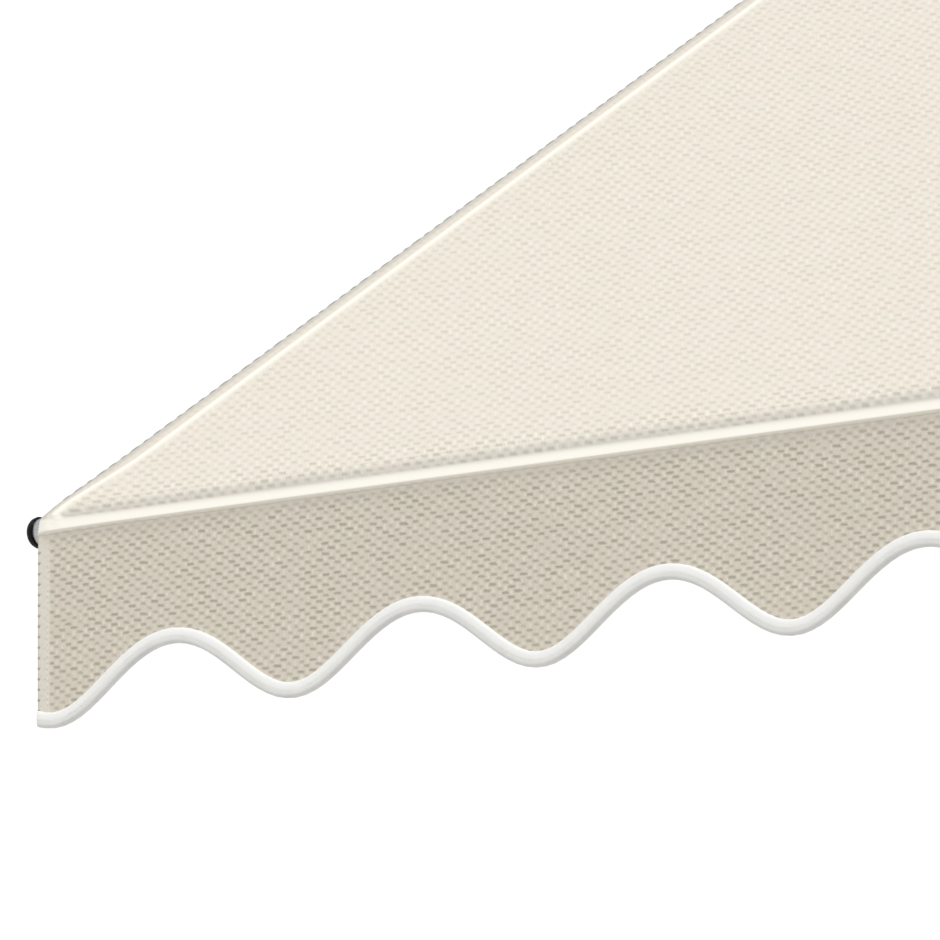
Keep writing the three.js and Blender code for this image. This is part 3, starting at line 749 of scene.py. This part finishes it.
def front_marks(row, x):
    part, t = row
    if part == OVER:
        return canopy_marks(SEAM_UP * (1 - t), x)
    if part == ROUND:
        weave, pale, shade = canopy_marks(0, x)
        # Towards the ridge the painted shade fades out and the cloth is painted pale: pressed threads and a
        # painted highlight.
        pressed = eased((t - 0.45) / 0.55)
        return weave * (1 - pressed), pale + (0.8 - pale) * pressed, shade * (1 - pressed)
    if part == PIPED:
        # The piped ridge is painted pale, for its pressed threads and as a painted highlight, less on its
        # underside.
        under = LOOSE * eased((t - 0.8) / 0.12)
        return under, (0.8 + 0.2 * math.sin(math.pi * t)) * (1 - 0.5 * under), 0.0
    inward = from_edge(x)
    drop = t * (tube_axis.z - wave(x))
    weave = LOOSE + (1 - LOOSE) * eased(drop / (5 * MM))
    on_hem = eased((VALANCE_HEM + 1.5 * MM - inward) / (3 * MM))
    # The very side edge is darkened with the painted shade.
    rim = max(1 - inward / (2.6 * MM), 0)
    # Just under the ridge the cloth is painted paler, a painted highlight that fades down the drop; the flat hem
    # is painted paler too.
    pale = max(0.5 * (1 - eased(drop / (11 * MM))), 0.4 * on_hem)
    return weave * (1 - 0.75 * on_hem), pale, 0.6 * rim


def front_lift(row, x, side):
    return hem_lift(x, side, bead_left(row))


skin = Skin()
add_sheet(skin, columns(9 * MM), front_rows, front_row_at, front_lift, front_marks)
valance = skin.make("valance_cloth", "front_bar", cloth)
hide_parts("valance")

# %% [markdown]
# ## The pocket behind the tube
# To hold the tube, a second strip is sewn to the canopy behind it and to the valance in front, and
# goes round under the tube. It is the part seen from below. Where each arm's bracket grips the
# tube, the strip has a window, so it is made as long stretches of the full strip with short
# stretches between them that stop above the bracket.

# %% The strip's path
STRIP = 0.9 * MM
STRIP_GAP = 0.1 * MM
STRIP_FOOT = 22 * MM
STRIP_START = math.radians(58)
STRIP_END = math.radians(238)
LEAD_THREADS = 4
ROUND_THREADS = 9
FOOT_THREADS = 2

strip_round = radius("front_tube") + AIR + STRIP / 2
strip_under = (CLOTH + STRIP) / 2 + STRIP_GAP
strip_rows = [("lead", t) for t in steps(0, 1, 4)]
strip_rows += [("round", t) for t in steps(0, 1, 26)[1:]]
strip_rows += [("foot", t) for t in steps(0, 1, 4)[1:]]


def strip_row_at(row, x):
    part, t = row
    meets, out = round_line(tube_axis, strip_round, STRIP_START)
    if part == "lead":
        start = on_slope(SEAM_UP, seam_over - strip_under)
        return start.lerp(meets, t), square.lerp(out, t).normalized(), (HUNG, LEAD_THREADS * t)
    if part == "round":
        point, out = round_line(tube_axis, strip_round, STRIP_START + (STRIP_END - STRIP_START) * t)
        return point, out, (HUNG, LEAD_THREADS + ROUND_THREADS * t)
    ends, under = round_line(tube_axis, strip_round, STRIP_END)
    foot = Vector((0, tube_axis.y - tube_wrap + strip_under, tube_axis.z - STRIP_FOOT))
    y = ends.y + (foot.y - ends.y) * (1 - (1 - t) ** 2)
    point = Vector((0, y, ends.z + (foot.z - ends.z) * t))
    threads = LEAD_THREADS + ROUND_THREADS + FOOT_THREADS * t
    return point, under.lerp(-FORWARD, eased(t)).normalized(), (HUNG, threads)


strip_points = [strip_row_at(row, 0)[0] for row in strip_rows]
strip_spans = [(b - a).length for a, b in zip(strip_points, strip_points[1:])]
print("the strip is", round(sum(strip_spans), 4), "m round the tube")

# %% Full stretches and windows
WINDOW_HALF = 28 * MM
WINDOW_ROWS = 9
SHORT_STRETCH = 200 * MM


def strip_marks(row, x):
    return 0.75, 0.05, 0.0


edges = [-half_width + MM]
for hand in (-1, 1):
    bracket = hand * abs(front_pivot.x)
    edges += [bracket - WINDOW_HALF, bracket + WINDOW_HALF]
edges.append(half_width - MM)
skin = Skin()
for stretch, (start, end) in enumerate(zip(edges, edges[1:])):
    rows = strip_rows if stretch % 2 == 0 else strip_rows[:WINDOW_ROWS]
    across = steps(start, end, 3 if end - start < SHORT_STRETCH else 30)
    add_sheet(skin, across, rows, strip_row_at, evenly(STRIP), strip_marks)
pocket = skin.make("pocket_strip", "front_bar", cloth)
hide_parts("fabric_pocket")

# %% [markdown]
# ## The binding
# The wavy edge is bound with a white tape, folded up over the raw edge on both sides and sewn. It
# could be a curve with a round bevel, but a tape is taller than it is thick, and it must end flush
# with the hem. So a rounded section is carried along the wave, always square to it, except at the
# two ends, where it stands upright.

# %% The tape's section and place
TAPE_HEIGHT = 15.6 * MM
TAPE_THICK = 8.5 * MM
TAPE_AROUND = 20
TAPE_ENDS = [e * MM for e in (1.6, 2.4, 3.6, 5.2, 7.2)]
TAPE_INNER = 10 * MM


def powered(value, power):
    """A power that keeps the sign."""
    return math.copysign(abs(value) ** power, value)


def tape_section(turn):
    """A rounded section: distance along the tape's height, and forward."""
    height = 0.55 * math.sin(turn) + 0.45 * powered(math.sin(turn), 0.6)
    return TAPE_HEIGHT / 2 * height, TAPE_THICK / 2 * powered(math.cos(turn), 0.5)


def tape_place(x, height, forward):
    slope = wave_slope(x)
    upright = eased(from_edge(x) / (9 * MM))
    lean = upright * slope / math.hypot(1, slope)
    z = wave(x) + height * (math.hypot(1, slope) * (1 - upright) + upright / math.hypot(1, slope))
    y = tube_axis.y - tube_wrap - sway(x, z) - forward
    return Vector((x - lean * height, y, z))


def tape_underside_shade(turn):
    """Painted shade on the tape's underside, darkest along its bottom."""
    return eased(-math.sin(turn) - 0.1)


skin = Skin()
rings = []
length = 0.0
before = None
for x in both_edges([-half_width + e for e in TAPE_ENDS], WAVES * 30, half_width - TAPE_INNER):
    here = Vector((x, 0, wave(x)))
    length += (here - before).length if before else 0
    before = here
    ring = []
    for turn in ring_turns(TAPE_AROUND):
        around = turn / math.pi * (TAPE_HEIGHT + TAPE_THICK)
        ring.append(skin.point(tape_place(x, *tape_section(turn)), (length / MM, around / MM),
                               (1, 0, tape_underside_shade(turn), 0)))
    rings.append(ring)
skin.rod(rings)
print("binding tape", round(length, 3), "m long")

# %% [markdown]
# The tape is a fine twill, smooth enough to look white and slightly satin. Its colour comes from
# narrow slanting ribs, worked out from the length along the tape, with a softer, greyer tone in
# the hollows between them and painted shade on its underside.

# %% The tape's finish
TAPE_WHITE = (0.95, 0.945, 0.93, 1)
TAPE_HOLLOW = (0.70, 0.70, 0.70, 1)
TAPE_SOILED = (0.80, 0.79, 0.76, 1)
TAPE_SHADE_COLOUR = (0.50, 0.51, 0.52, 1)


def tape_finish():
    finish = Finish("binding_tape", Roughness=0.55, Specular_IOR_Level=0.35, Sheen_Weight=0.1)
    calc, ramp, blend = finish.calc, finish.ramp, finish.blend
    split = finish.add("ShaderNodeSeparateXYZ", finish.place("UV")).outputs
    slant = calc("MULTIPLY_ADD", split["Y"], 0.8, split["X"])
    hollow = ramp(calc("ABSOLUTE", calc("SUBTRACT", calc("FRACT", slant), 0.5)), 0.28, 0.5)
    soil = finish.noise(60.0, 3.0)
    colour = blend(calc("MULTIPLY", hollow, 0.12), TAPE_WHITE, TAPE_HOLLOW)
    colour = blend(ramp(soil, 0.45, 0.75, 0.0, 0.12), colour, TAPE_SOILED)
    # Painted shade on the underside, more in some spots than others.
    darkening = calc("MULTIPLY", finish.mark("shade"), ramp(soil, 0.2, 0.8, 0.40, 0.60))
    finish.tones(darkening, colour, TAPE_SHADE_COLOUR)
    finish.bump(calc("MULTIPLY", hollow, -1.0), 0.12 * MM)
    return finish.material


binding = skin.make("binding_tape", "front_bar", tape_finish())
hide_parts("valance_binding")

# %% [markdown]
# ## Cloth on the roller
# Fully let out, the last turns stay on the roller. They are a true spiral, so that its end shows
# the layers. The outermost turn is made apart: it carries on from the canopy over the back of the
# roll, and it stays where it is when the roller turns, as the line where the cloth leaves the roll
# does.

# %% The spiral
ROLL_STEPS = 56
LAYER = 0.92
ROLL_EDGE = [-half_width + e * MM for e in (0, 3, 6)]
ROLL_INNER = 60 * MM

spiral_in = radius("roller_tube") + AIR / 2 + CLOTH / 2
spiral_out = radius("fabric_roll") - CLOTH / 2
turns = (spiral_out - spiral_in) / CLOTH
roll_columns = both_edges(ROLL_EDGE, 12, half_width - ROLL_INNER)


def spiral_row_at(turn, x):
    point, out = round_line(roller_axis, spiral_in + CLOTH * turn / (2 * math.pi), turn)
    return point, out, (STRETCHED, turn * spiral_in / STRETCHED.row)


def roll_marks(row, x):
    rim = max(1 - from_edge(x) / (3 * MM), 0)
    return WEAVE_FAR * (1 - rim), 0.0, 0.5 * rim


skin = Skin()
add_sheet(skin, roll_columns, steps(0, 2 * math.pi * turns, int(turns * ROLL_STEPS)),
          spiral_row_at, evenly(LAYER * CLOTH), roll_marks)
roll = skin.make("rolled_cloth", "roller", cloth)
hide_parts("fabric_roll")

# %% The outer turn
OUTER_END = math.radians(338)


def outer_row_at(turn, x):
    point, out = round_line(roller_axis, roll_wrap, turn)
    return point, out, (STRETCHED, (-slope_length - roll_wrap * turn) / STRETCHED.row)


skin = Skin()
add_sheet(skin, roll_columns, steps(0, OUTER_END, ROLL_STEPS), outer_row_at, evenly(CLOTH),
          roll_marks)
outer_turn = skin.make("outer_turn_cloth", "frame", cloth)

# %% [markdown]
# ## Stitches
# Each seam is a row of lockstitches, and the folded side edges are sewn over in a darker thread.
# Bump alone wouldn't stand up to a close look, so every stitch is a tiny rounded grain of thread,
# sunk halfway into the cloth. The tape's stitches show on its back only. All the stitches of a
# seam are one mesh, so thousands stay light.

# %% Three threads
def thread_finish(name, light, dark):
    finish = Finish(name, Roughness=0.6, Specular_IOR_Level=0.3)
    twist = finish.noise(1500.0)
    finish.tones(finish.ramp(twist, 0.35, 0.65), light, dark)
    finish.bump(twist, 0.1 * MM)
    return finish.material


thread = thread_finish("sewing_thread", (0.86, 0.83, 0.76, 1), (0.72, 0.69, 0.61, 1))
edge_thread = thread_finish("edge_thread", (0.34, 0.335, 0.31, 1), (0.24, 0.235, 0.215, 1))
shaded_thread = thread_finish("shaded_thread", (0.50, 0.48, 0.41, 1), (0.38, 0.36, 0.30, 1))
print("threads:", thread.name, edge_thread.name, shaded_thread.name)

# %% One stitch
STITCH_AROUND = 6


def add_stitch(skin, place, along, out, long=4.2 * MM, wide=0.55 * MM, flat=1.0):
    """A grain of thread: pointed at both ends, round across. flat squeezes it onto the cloth."""
    side = along.cross(out).normalized()
    tips = [skin.point(place + along * (long / 2 * end)) for end in (-1, 1)]
    rings = []
    for share, thick in ((-0.55, 0.8), (0.0, 1.0), (0.55, 0.8)):
        centre = place + along * (long / 2 * share)
        ways = [side * math.cos(turn) + out * math.sin(turn) * flat
                for turn in ring_turns(STITCH_AROUND)]
        rings.append([skin.point(centre + way * wide * thick) for way in ways])
    skin.join(rings)
    for tip, ring in zip(tips, (rings[0], rings[-1])):
        for k in range(STITCH_AROUND):
            skin.face(tip, ring[k], ring[(k + 1) % STITCH_AROUND])


print("a stitch has", 2 + 3 * STITCH_AROUND, "points")

# %% Stitches on the canopy
STITCH_PITCH = 6 * MM
EDGE_PITCH = 22 * MM
SEWN_IN = 1.2 * MM
OVERSEWN_IN = 2.3 * MM


def up_the_sides(pitch):
    """Places up both sides of the canopy: the number, which side, and how far up."""
    count = int(canopy_length / pitch) - 1
    return [(i, hand, SEAM_UP + pitch * (i + 0.8)) for hand in (-1, 1) for i in range(count)]


skin = Skin()
for _, hand, up in up_the_sides(STITCH_PITCH):
    x = hand * (half_width - hem_width(1) - SEWN_IN)
    place = on_slope(up, canopy_middle(up, x) + CLOTH / 2)
    add_stitch(skin, place + ALONG_WALL * (x + drawn_out(x, up)), up_slope, square)
hem_stitches = skin.make("canopy_hem_stitches", "frame", thread)
shortens(hem_stitches)

skin = Skin()
for i, hand, up in up_the_sides(EDGE_PITCH):
    x = hand * (half_width - OVERSEWN_IN)
    over = canopy_middle(up, x) + canopy_lift(up, x, 1) - 0.1 * MM
    add_stitch(skin, on_slope(up, over) + ALONG_WALL * x, up_slope, square,
               long=(17 + 6 * math.sin(i * 2.4)) * MM, wide=1.9 * MM, flat=0.3)
canopy_overcast = skin.make("canopy_edge_stitches", "frame", edge_thread)
shortens(canopy_overcast)

# %% Stitches over the valance's side edges
OVERCAST_FROM = 24 * MM
OVERCAST_PITCH = 10.5 * MM


def hung_face(x, z):
    """A point on the face of the hanging cloth."""
    return Vector((x, tube_axis.y - tube_wrap - sway(x, z) - hem_lift(x, 1, 0), z))


skin = Skin()
for hand in (-1, 1):
    x = hand * (half_width - 2 * MM)
    z = tube_axis.z - OVERCAST_FROM
    while z > wave(x) + TAPE_HEIGHT / 2:
        add_stitch(skin, hung_face(x, z), ALONG_WALL, FORWARD, long=4 * MM, wide=1.6 * MM, flat=0.3)
        z -= OVERCAST_PITCH
valance_overcast = skin.make("valance_edge_stitches", "front_bar", shaded_thread)

# %% Stitches along the pocket's seam, the tape and the valance's hems
WAVE_LONGER = 1.08
TAPE_STITCH_IN = 8 * MM

skin = Skin()
for i in range(int(width / STITCH_PITCH) - 1):
    x = -half_width + STITCH_PITCH * (i + 1)
    place = on_slope(SEAM_UP - 1.5 * MM, seam_over + CLOTH / 2) + ALONG_WALL * x
    if from_edge(x) > hem_width(1) + 2 * MM:
        add_stitch(skin, place, ALONG_WALL, square)
pitches = width / STITCH_PITCH * WAVE_LONGER
for i in range(int(pitches)):
    x = -half_width + TAPE_STITCH_IN + (width - 2 * TAPE_STITCH_IN) * i / pitches
    along = Vector((1, 0, wave_slope(x))).normalized()
    place = tape_place(x, TAPE_HEIGHT / 2 - 2.6 * MM, 0.35 * MM - TAPE_THICK / 2)
    add_stitch(skin, place, along, -FORWARD)
for hand in (-1, 1):
    x = hand * (half_width - VALANCE_HEM + 2.2 * MM)
    drop = tube_axis.z - wave(x) - TAPE_HEIGHT / 2
    for i in range(2, int(drop / STITCH_PITCH)):
        z = tube_axis.z - STITCH_PITCH * (i + 0.3)
        add_stitch(skin, hung_face(x, z), Vector((0, 0, 1)), FORWARD)
valance_stitches = skin.make("valance_stitches", "front_bar", thread)

# %% [markdown]
# ## What was cut for each sheet
# A sheet's flat size is what the maker cuts before sewing. The valance isn't a rectangle and the
# pocket strip has windows. All the sheets were one length of cloth and a strip, but they ride on
# different bodies. The canopy's and the valance's flat lengths are printed.

lowest = front_path((DROP, 0), 0)[0].z - (wave_middle - wave_height / 2 - INTO_TAPE)
cut_away = sum(strip_spans[WINDOW_ROWS - 1:])
print("canopy", round(canopy_length, 3), "m long, valance", round(above_waves + lowest, 3), "m")

# %% [markdown]
# ## Elbow cables
# A wire rope goes round the outside of each elbow and carries the spring's pull into the forearm.
# It is laid from six strands, so its section is a six-lobed outline that turns as it goes along.
# It follows the upper arm on one side of the pivot, the forearm on the other, and turns between
# them. It is laid as the arms stand, and it doesn't bend when the elbow folds.

# %% The rope's finish and route
ROPE = 2.2 * MM
ROPE_LAY = 22 * MM
STRAND_DEEP = 0.14
ROPE_POINTS = 24
ROPE_OFF_PIVOT = 25 * MM
ROPE_IN_ARM = 150 * MM


def rope_finish():
    finish = Finish("wire_rope", Metallic=1.0, Roughness=0.32)
    grime = finish.noise(260.0, 3.0)
    finish.tones(finish.ramp(grime, 0.4, 0.7), (0.62, 0.63, 0.64, 1), (0.30, 0.30, 0.30, 1))
    finish.dull(grime, 0.3, 0.8, 0.25, 0.5)
    return finish.material


rope = rope_finish()


def rope_route(side):
    """Straight out of the upper arm, an arc about the pivot, and straight into the forearm."""
    start = pivot_of(side + "_shoulder")
    pivot = pivot_of(side + "_elbow")
    upper = (pivot - start).normalized()
    fore = (Vector((start.x, *front_pivot.yz)) - pivot).normalized()
    outward = ALONG_WALL * -math.copysign(1, start.x)
    first, last = ((outward - way * outward.dot(way)).normalized() for way in (upper, fore))
    points = [pivot + first * ROPE_OFF_PIVOT - upper * (ROPE_IN_ARM * (1 - i / 20))
              for i in range(20)]
    points += [pivot + first.slerp(last, i / 16) * ROPE_OFF_PIVOT for i in range(17)]
    points += [pivot + last * ROPE_OFF_PIVOT + fore * (4 * MM * (i + 1)) for i in range(20)]
    return points, pivot, upper, fore


print("the rope's route has", len(rope_route("left")[0]), "points")

# %% Wire rope round each elbow
for side in ("left", "right"):
    points, pivot, upper, fore = rope_route(side)
    skin = Skin()
    rings = []
    gone = 0.0
    for i, point in enumerate(points):
        ahead = points[min(i + 1, len(points) - 1)] - points[max(i - 1, 0)]
        gone += (point - points[i - 1]).length if i else 0
        across = ahead.cross(square).normalized()
        laid = 2 * math.pi * gone / ROPE_LAY
        ring = []
        for turn in ring_turns(ROPE_POINTS):
            lobe = ROPE * (1 - STRAND_DEEP + STRAND_DEEP * abs(math.cos(3 * (turn - laid))))
            out = across * math.cos(turn) + square * math.sin(turn)
            ring.append(skin.point(point + out * lobe))
        rings.append(ring)
    skin.rod(rings)
    cable = skin.make(side + "_elbow_rope", side + "_upper_arm", rope)
    cable.parent = None
    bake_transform(cable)
    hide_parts(side + "_elbow_cable")
    print(side, "elbow rope", round(gone, 3), "m")

# %% [markdown]
# ## Metal and plastic
# The bar, brackets and castings are painted with powder, which dries to a faint orange-peel skin.
# The tubes are drawn aluminium: fine lines run along them, so the finish stretches its noise along
# the tube's own direction. Plated and plain bright metal have cloudy patches, and the end caps
# and plugs are moulded plastic with a fine spark texture.

# %% Powder coat and moulded plastic
def powder_coat():
    finish = Finish("powder_coat", Roughness=0.42, Coat_Weight=0.15)
    darkening = finish.noise(9.0, 5.0)
    finish.tones(finish.ramp(darkening, 0.40, 0.72), (0.60, 0.61, 0.61, 1), (0.50, 0.50, 0.485, 1))
    finish.dull(darkening, 0.3, 0.8, 0.36, 0.58)
    finish.bump(finish.noise(420.0), 0.08 * MM)
    return finish.material


def moulded_black():
    finish = Finish("moulded_plastic", Specular_IOR_Level=0.12)
    scuff = finish.noise(70.0, 5.0)
    finish.tones(finish.ramp(scuff, 0.52, 0.75, 0.0, 0.5), (0.004, 0.004, 0.0045, 1),
                 (0.012, 0.012, 0.012, 1))
    finish.dull(scuff, 0.3, 0.8, 0.38, 0.6)
    finish.bump(finish.noise(1100.0), 0.04 * MM)
    return finish.material


finishes = {"paint": powder_coat(), "black": moulded_black()}
print("made:", ", ".join(finishes))

# %% Drawn aluminium
DRAWN_SQUEEZE = -0.985


def squeezed(finish, direction):
    """Places squeezed along one direction, so that noise there draws out into lines."""
    spot = finish.place()
    dot = finish.add("ShaderNodeVectorMath", spot, direction, operation="DOT_PRODUCT")
    back = finish.add("ShaderNodeVectorMath", direction, operation="SCALE")
    share = finish.calc("MULTIPLY", dot.outputs["Value"], DRAWN_SQUEEZE)
    finish.connect(share, back.inputs["Scale"])
    return finish.add("ShaderNodeVectorMath", spot, back.outputs[0]).outputs[0]


def drawn_aluminium(name, direction):
    finish = Finish(name, Metallic=1.0)
    lines = finish.noise(900.0, 3.0, place=squeezed(finish, direction))
    colour = finish.blend(finish.ramp(lines, 0.3, 0.7), (0.66, 0.67, 0.68, 1), (0.50, 0.51, 0.52, 1))
    cloud = finish.ramp(finish.noise(14.0, 4.0), 0.5, 0.8, 0.0, 0.25)
    finish.tones(cloud, colour, (0.42, 0.42, 0.41, 1))
    finish.dull(lines, 0.25, 0.75, 0.27, 0.44)
    finish.bump(lines, 0.05 * MM)
    return finish.material


tubes = {"front_tube": drawn_aluminium("drawn_front_tube", ALONG_WALL)}
for side in ("left", "right"):
    upper_way = (pivot_of(side + "_elbow") - pivot_of(side + "_shoulder")).normalized()
    fore_way = Vector((-upper_way.x, *upper_way.yz))
    tubes[side + "_upper_arm_tube"] = drawn_aluminium(side + "_drawn_upper_arm", upper_way)
    tubes[side + "_forearm_tube"] = drawn_aluminium(side + "_drawn_forearm", fore_way)
print("tubes with lines of their own:", ", ".join(tubes))

# %% Plated and bright metal
def cloudy_metal(name, light, dark, rough):
    finish = Finish(name, Metallic=1.0)
    crystals = finish.add("ShaderNodeTexVoronoi", finish.place())
    crystals.inputs["Scale"].default_value = 160.0
    cloud = finish.noise(90.0, 3.0)
    finish.tones(crystals.outputs["Distance"], light, dark)
    finish.dull(cloud, 0.3, 0.7, rough - 0.08, rough + 0.12)
    finish.bump(cloud, 0.06 * MM)
    return finish.material


finishes["zinc"] = cloudy_metal("zinc_plate", (0.60, 0.61, 0.62, 1), (0.44, 0.45, 0.45, 1), 0.34)
finishes["steel"] = cloudy_metal("bright_steel", (0.50, 0.51, 0.52, 1), (0.36, 0.36, 0.37, 1), 0.3)
finishes["brass"] = cloudy_metal("cast_brass", (0.62, 0.45, 0.20, 1), (0.45, 0.32, 0.14, 1), 0.36)
print("all finishes but the tubes':", ", ".join(finishes))

# %% [markdown]
# The slots in the record say which finish each piece has. Turned and cast pieces come from the CAD
# with sharp edges, which no real part has, and a razor edge catches no light. A narrow bevel breaks
# every sharp edge, and a small node modifier shades round faces smooth while it leaves the real
# corners crisp. Modifiers leave the CAD mesh itself as it is.

# %% Edges that catch the light
SMOOTH_BELOW = math.radians(32)
BEVEL_ABOVE = math.radians(35)
BEVEL = 0.7 * MM
BEVEL_SHARE = 0.08


def smooth_by_angle(angle):
    group = bpy.data.node_groups.new("shade_round_faces_smooth", "GeometryNodeTree")
    for way in ("INPUT", "OUTPUT"):
        group.interface.new_socket("Geometry", in_out=way, socket_type="NodeSocketGeometry")
    start = group.nodes.new("NodeGroupInput")
    end = group.nodes.new("NodeGroupOutput")
    bend = group.nodes.new("GeometryNodeInputMeshEdgeAngle")
    flat = group.nodes.new("FunctionNodeCompare")
    flat.operation = "LESS_THAN"
    flat.inputs["B"].default_value = angle
    faces = group.nodes.new("GeometryNodeSetShadeSmooth")
    edges_smooth = group.nodes.new("GeometryNodeSetShadeSmooth")
    edges_smooth.domain = "EDGE"
    group.links.new(bend.outputs["Unsigned Angle"], flat.inputs["A"])
    group.links.new(start.outputs[0], faces.inputs["Geometry"])
    group.links.new(faces.outputs[0], edges_smooth.inputs["Geometry"])
    group.links.new(flat.outputs["Result"], edges_smooth.inputs["Shade Smooth"])
    group.links.new(edges_smooth.outputs[0], end.inputs[0])
    return group


round_faces = smooth_by_angle(SMOOTH_BELOW)


def break_edges(piece):
    bevel = piece.modifiers.new("broken edges", "BEVEL")
    bevel.width = min(BEVEL, min(piece.dimensions) * BEVEL_SHARE)
    bevel.segments = 2
    bevel.limit_method = "ANGLE"
    bevel.angle_limit = BEVEL_ABOVE
    piece.modifiers.new("round faces", "NODES").node_group = round_faces


print("faces are shaded smooth where they meet below", round(math.degrees(SMOOTH_BELOW)), "degrees")

# %% Each CAD piece gets its finish
slots = {part["node"]: part["material_slot"] for part in frame["record"]["subparts"]}
dressed = 0
for name, piece in frame["nodes"].items():
    if piece.hide_render:
        continue
    material = tubes.get(name) or finishes[slots[name]]
    for slot in piece.material_slots:
        slot.material = material
    break_edges(piece)
    dressed += 1
print(dressed, "metal and plastic pieces have their finish")

# %% [markdown]
# ## Light, floor and camera
# Plain studio light: a white surround that lights everything evenly, and a broad soft sun from the
# front, high and a little to the right, so that the canopy is bright, the valance stands in half
# shade, and every ridge has a lit side. The camera sees the surround as plain white. The floor is
# very wide and lies far below, so that the awning can be looked at from underneath as well. The
# camera is far away with a long lens, lower than the front tube and well to the right, and looks
# up at the left-hand corner.

# %% Light
SURROUND = 0.74
SEEN_WHITE = 1.05
SUN_FROM = Vector((0.30, -0.28, 0.91))
SUN_STRENGTH = 1.85
SUN_SPREAD = math.radians(22)

world = bpy.data.worlds.new("studio")
bpy.context.scene.world = world
world.use_nodes = True
tree = world.node_tree
lights = tree.nodes["Background"]
seen = tree.nodes.new("ShaderNodeBackground")
for node, colour, strength in ((lights, (0.98, 0.99, 1.0, 1), SURROUND),
                               (seen, (1, 1, 1, 1), SEEN_WHITE)):
    node.inputs["Color"].default_value = colour
    node.inputs["Strength"].default_value = strength
by_camera = tree.nodes.new("ShaderNodeLightPath").outputs["Is Camera Ray"]
either = tree.nodes.new("ShaderNodeMixShader")
for value, socket in zip((by_camera, lights.outputs[0], seen.outputs[0]), either.inputs):
    tree.links.new(value, socket)
tree.links.new(either.outputs[0], tree.nodes["World Output"].inputs["Surface"])

sun = bpy.data.lights.new("soft_sun", "SUN")
sun.energy = SUN_STRENGTH
sun.angle = SUN_SPREAD
sun.color = (0.97, 0.985, 1.0)
sun_holder = add_object("soft_sun", sun)
sun_holder.rotation_mode = "QUATERNION"
sun_holder.rotation_quaternion = SUN_FROM.to_track_quat("Z", "Y")
bpy.context.scene.view_settings.view_transform = "Standard"
print("surround", SURROUND, "and sun", SUN_STRENGTH)

# %% Floor
FLOOR_DROP = 12.0
FLOOR_RADIUS = 300.0

bpy.ops.mesh.primitive_circle_add(vertices=96, radius=FLOOR_RADIUS, fill_type="NGON",
                                  location=(0, 0, -FLOOR_DROP))
floor = bpy.context.object
floor.name = "floor"
floor_finish = Finish("pale_floor", Roughness=0.9)
floor_finish.tones(floor_finish.noise(3.0, 6.0), (0.63, 0.61, 0.57, 1), (0.68, 0.66, 0.62, 1))
floor.data.materials.append(floor_finish.material)
print("floor", FLOOR_DROP, "m below the wall bar")

# %% The camera
AZIMUTH = math.radians(34.86)
ELEVATION = math.radians(-11.27)
DISTANCE = 12.0
LENS = 477.7
SENSOR = 36
SEES_AS_FAR_AS = 1000
AIM_FROM_EDGE = 0.540
AIM_RIGHT = 26.9 * MM
AIM_UP = 0.7 * MM

back = Vector((math.sin(AZIMUTH) * math.cos(ELEVATION),
               -math.cos(AZIMUTH) * math.cos(ELEVATION), math.sin(ELEVATION)))
right = Vector((math.cos(AZIMUTH), math.sin(AZIMUTH), 0))
aim = Vector((-half_width + AIM_FROM_EDGE, tube_axis.y, tube_axis.z))
aim = aim - right * AIM_RIGHT + back.cross(right) * AIM_UP
camera = add_object("camera", bpy.data.cameras.new("camera"))
camera.data.lens = LENS
camera.data.sensor_width = SENSOR
camera.data.clip_end = SEES_AS_FAR_AS
camera.location = aim + back * DISTANCE
camera.rotation_mode = "QUATERNION"
camera.rotation_quaternion = (-back).to_track_quat("-Z", "Y")
bpy.context.scene.camera = camera
print("camera at", [round(v, 3) for v in camera.location])
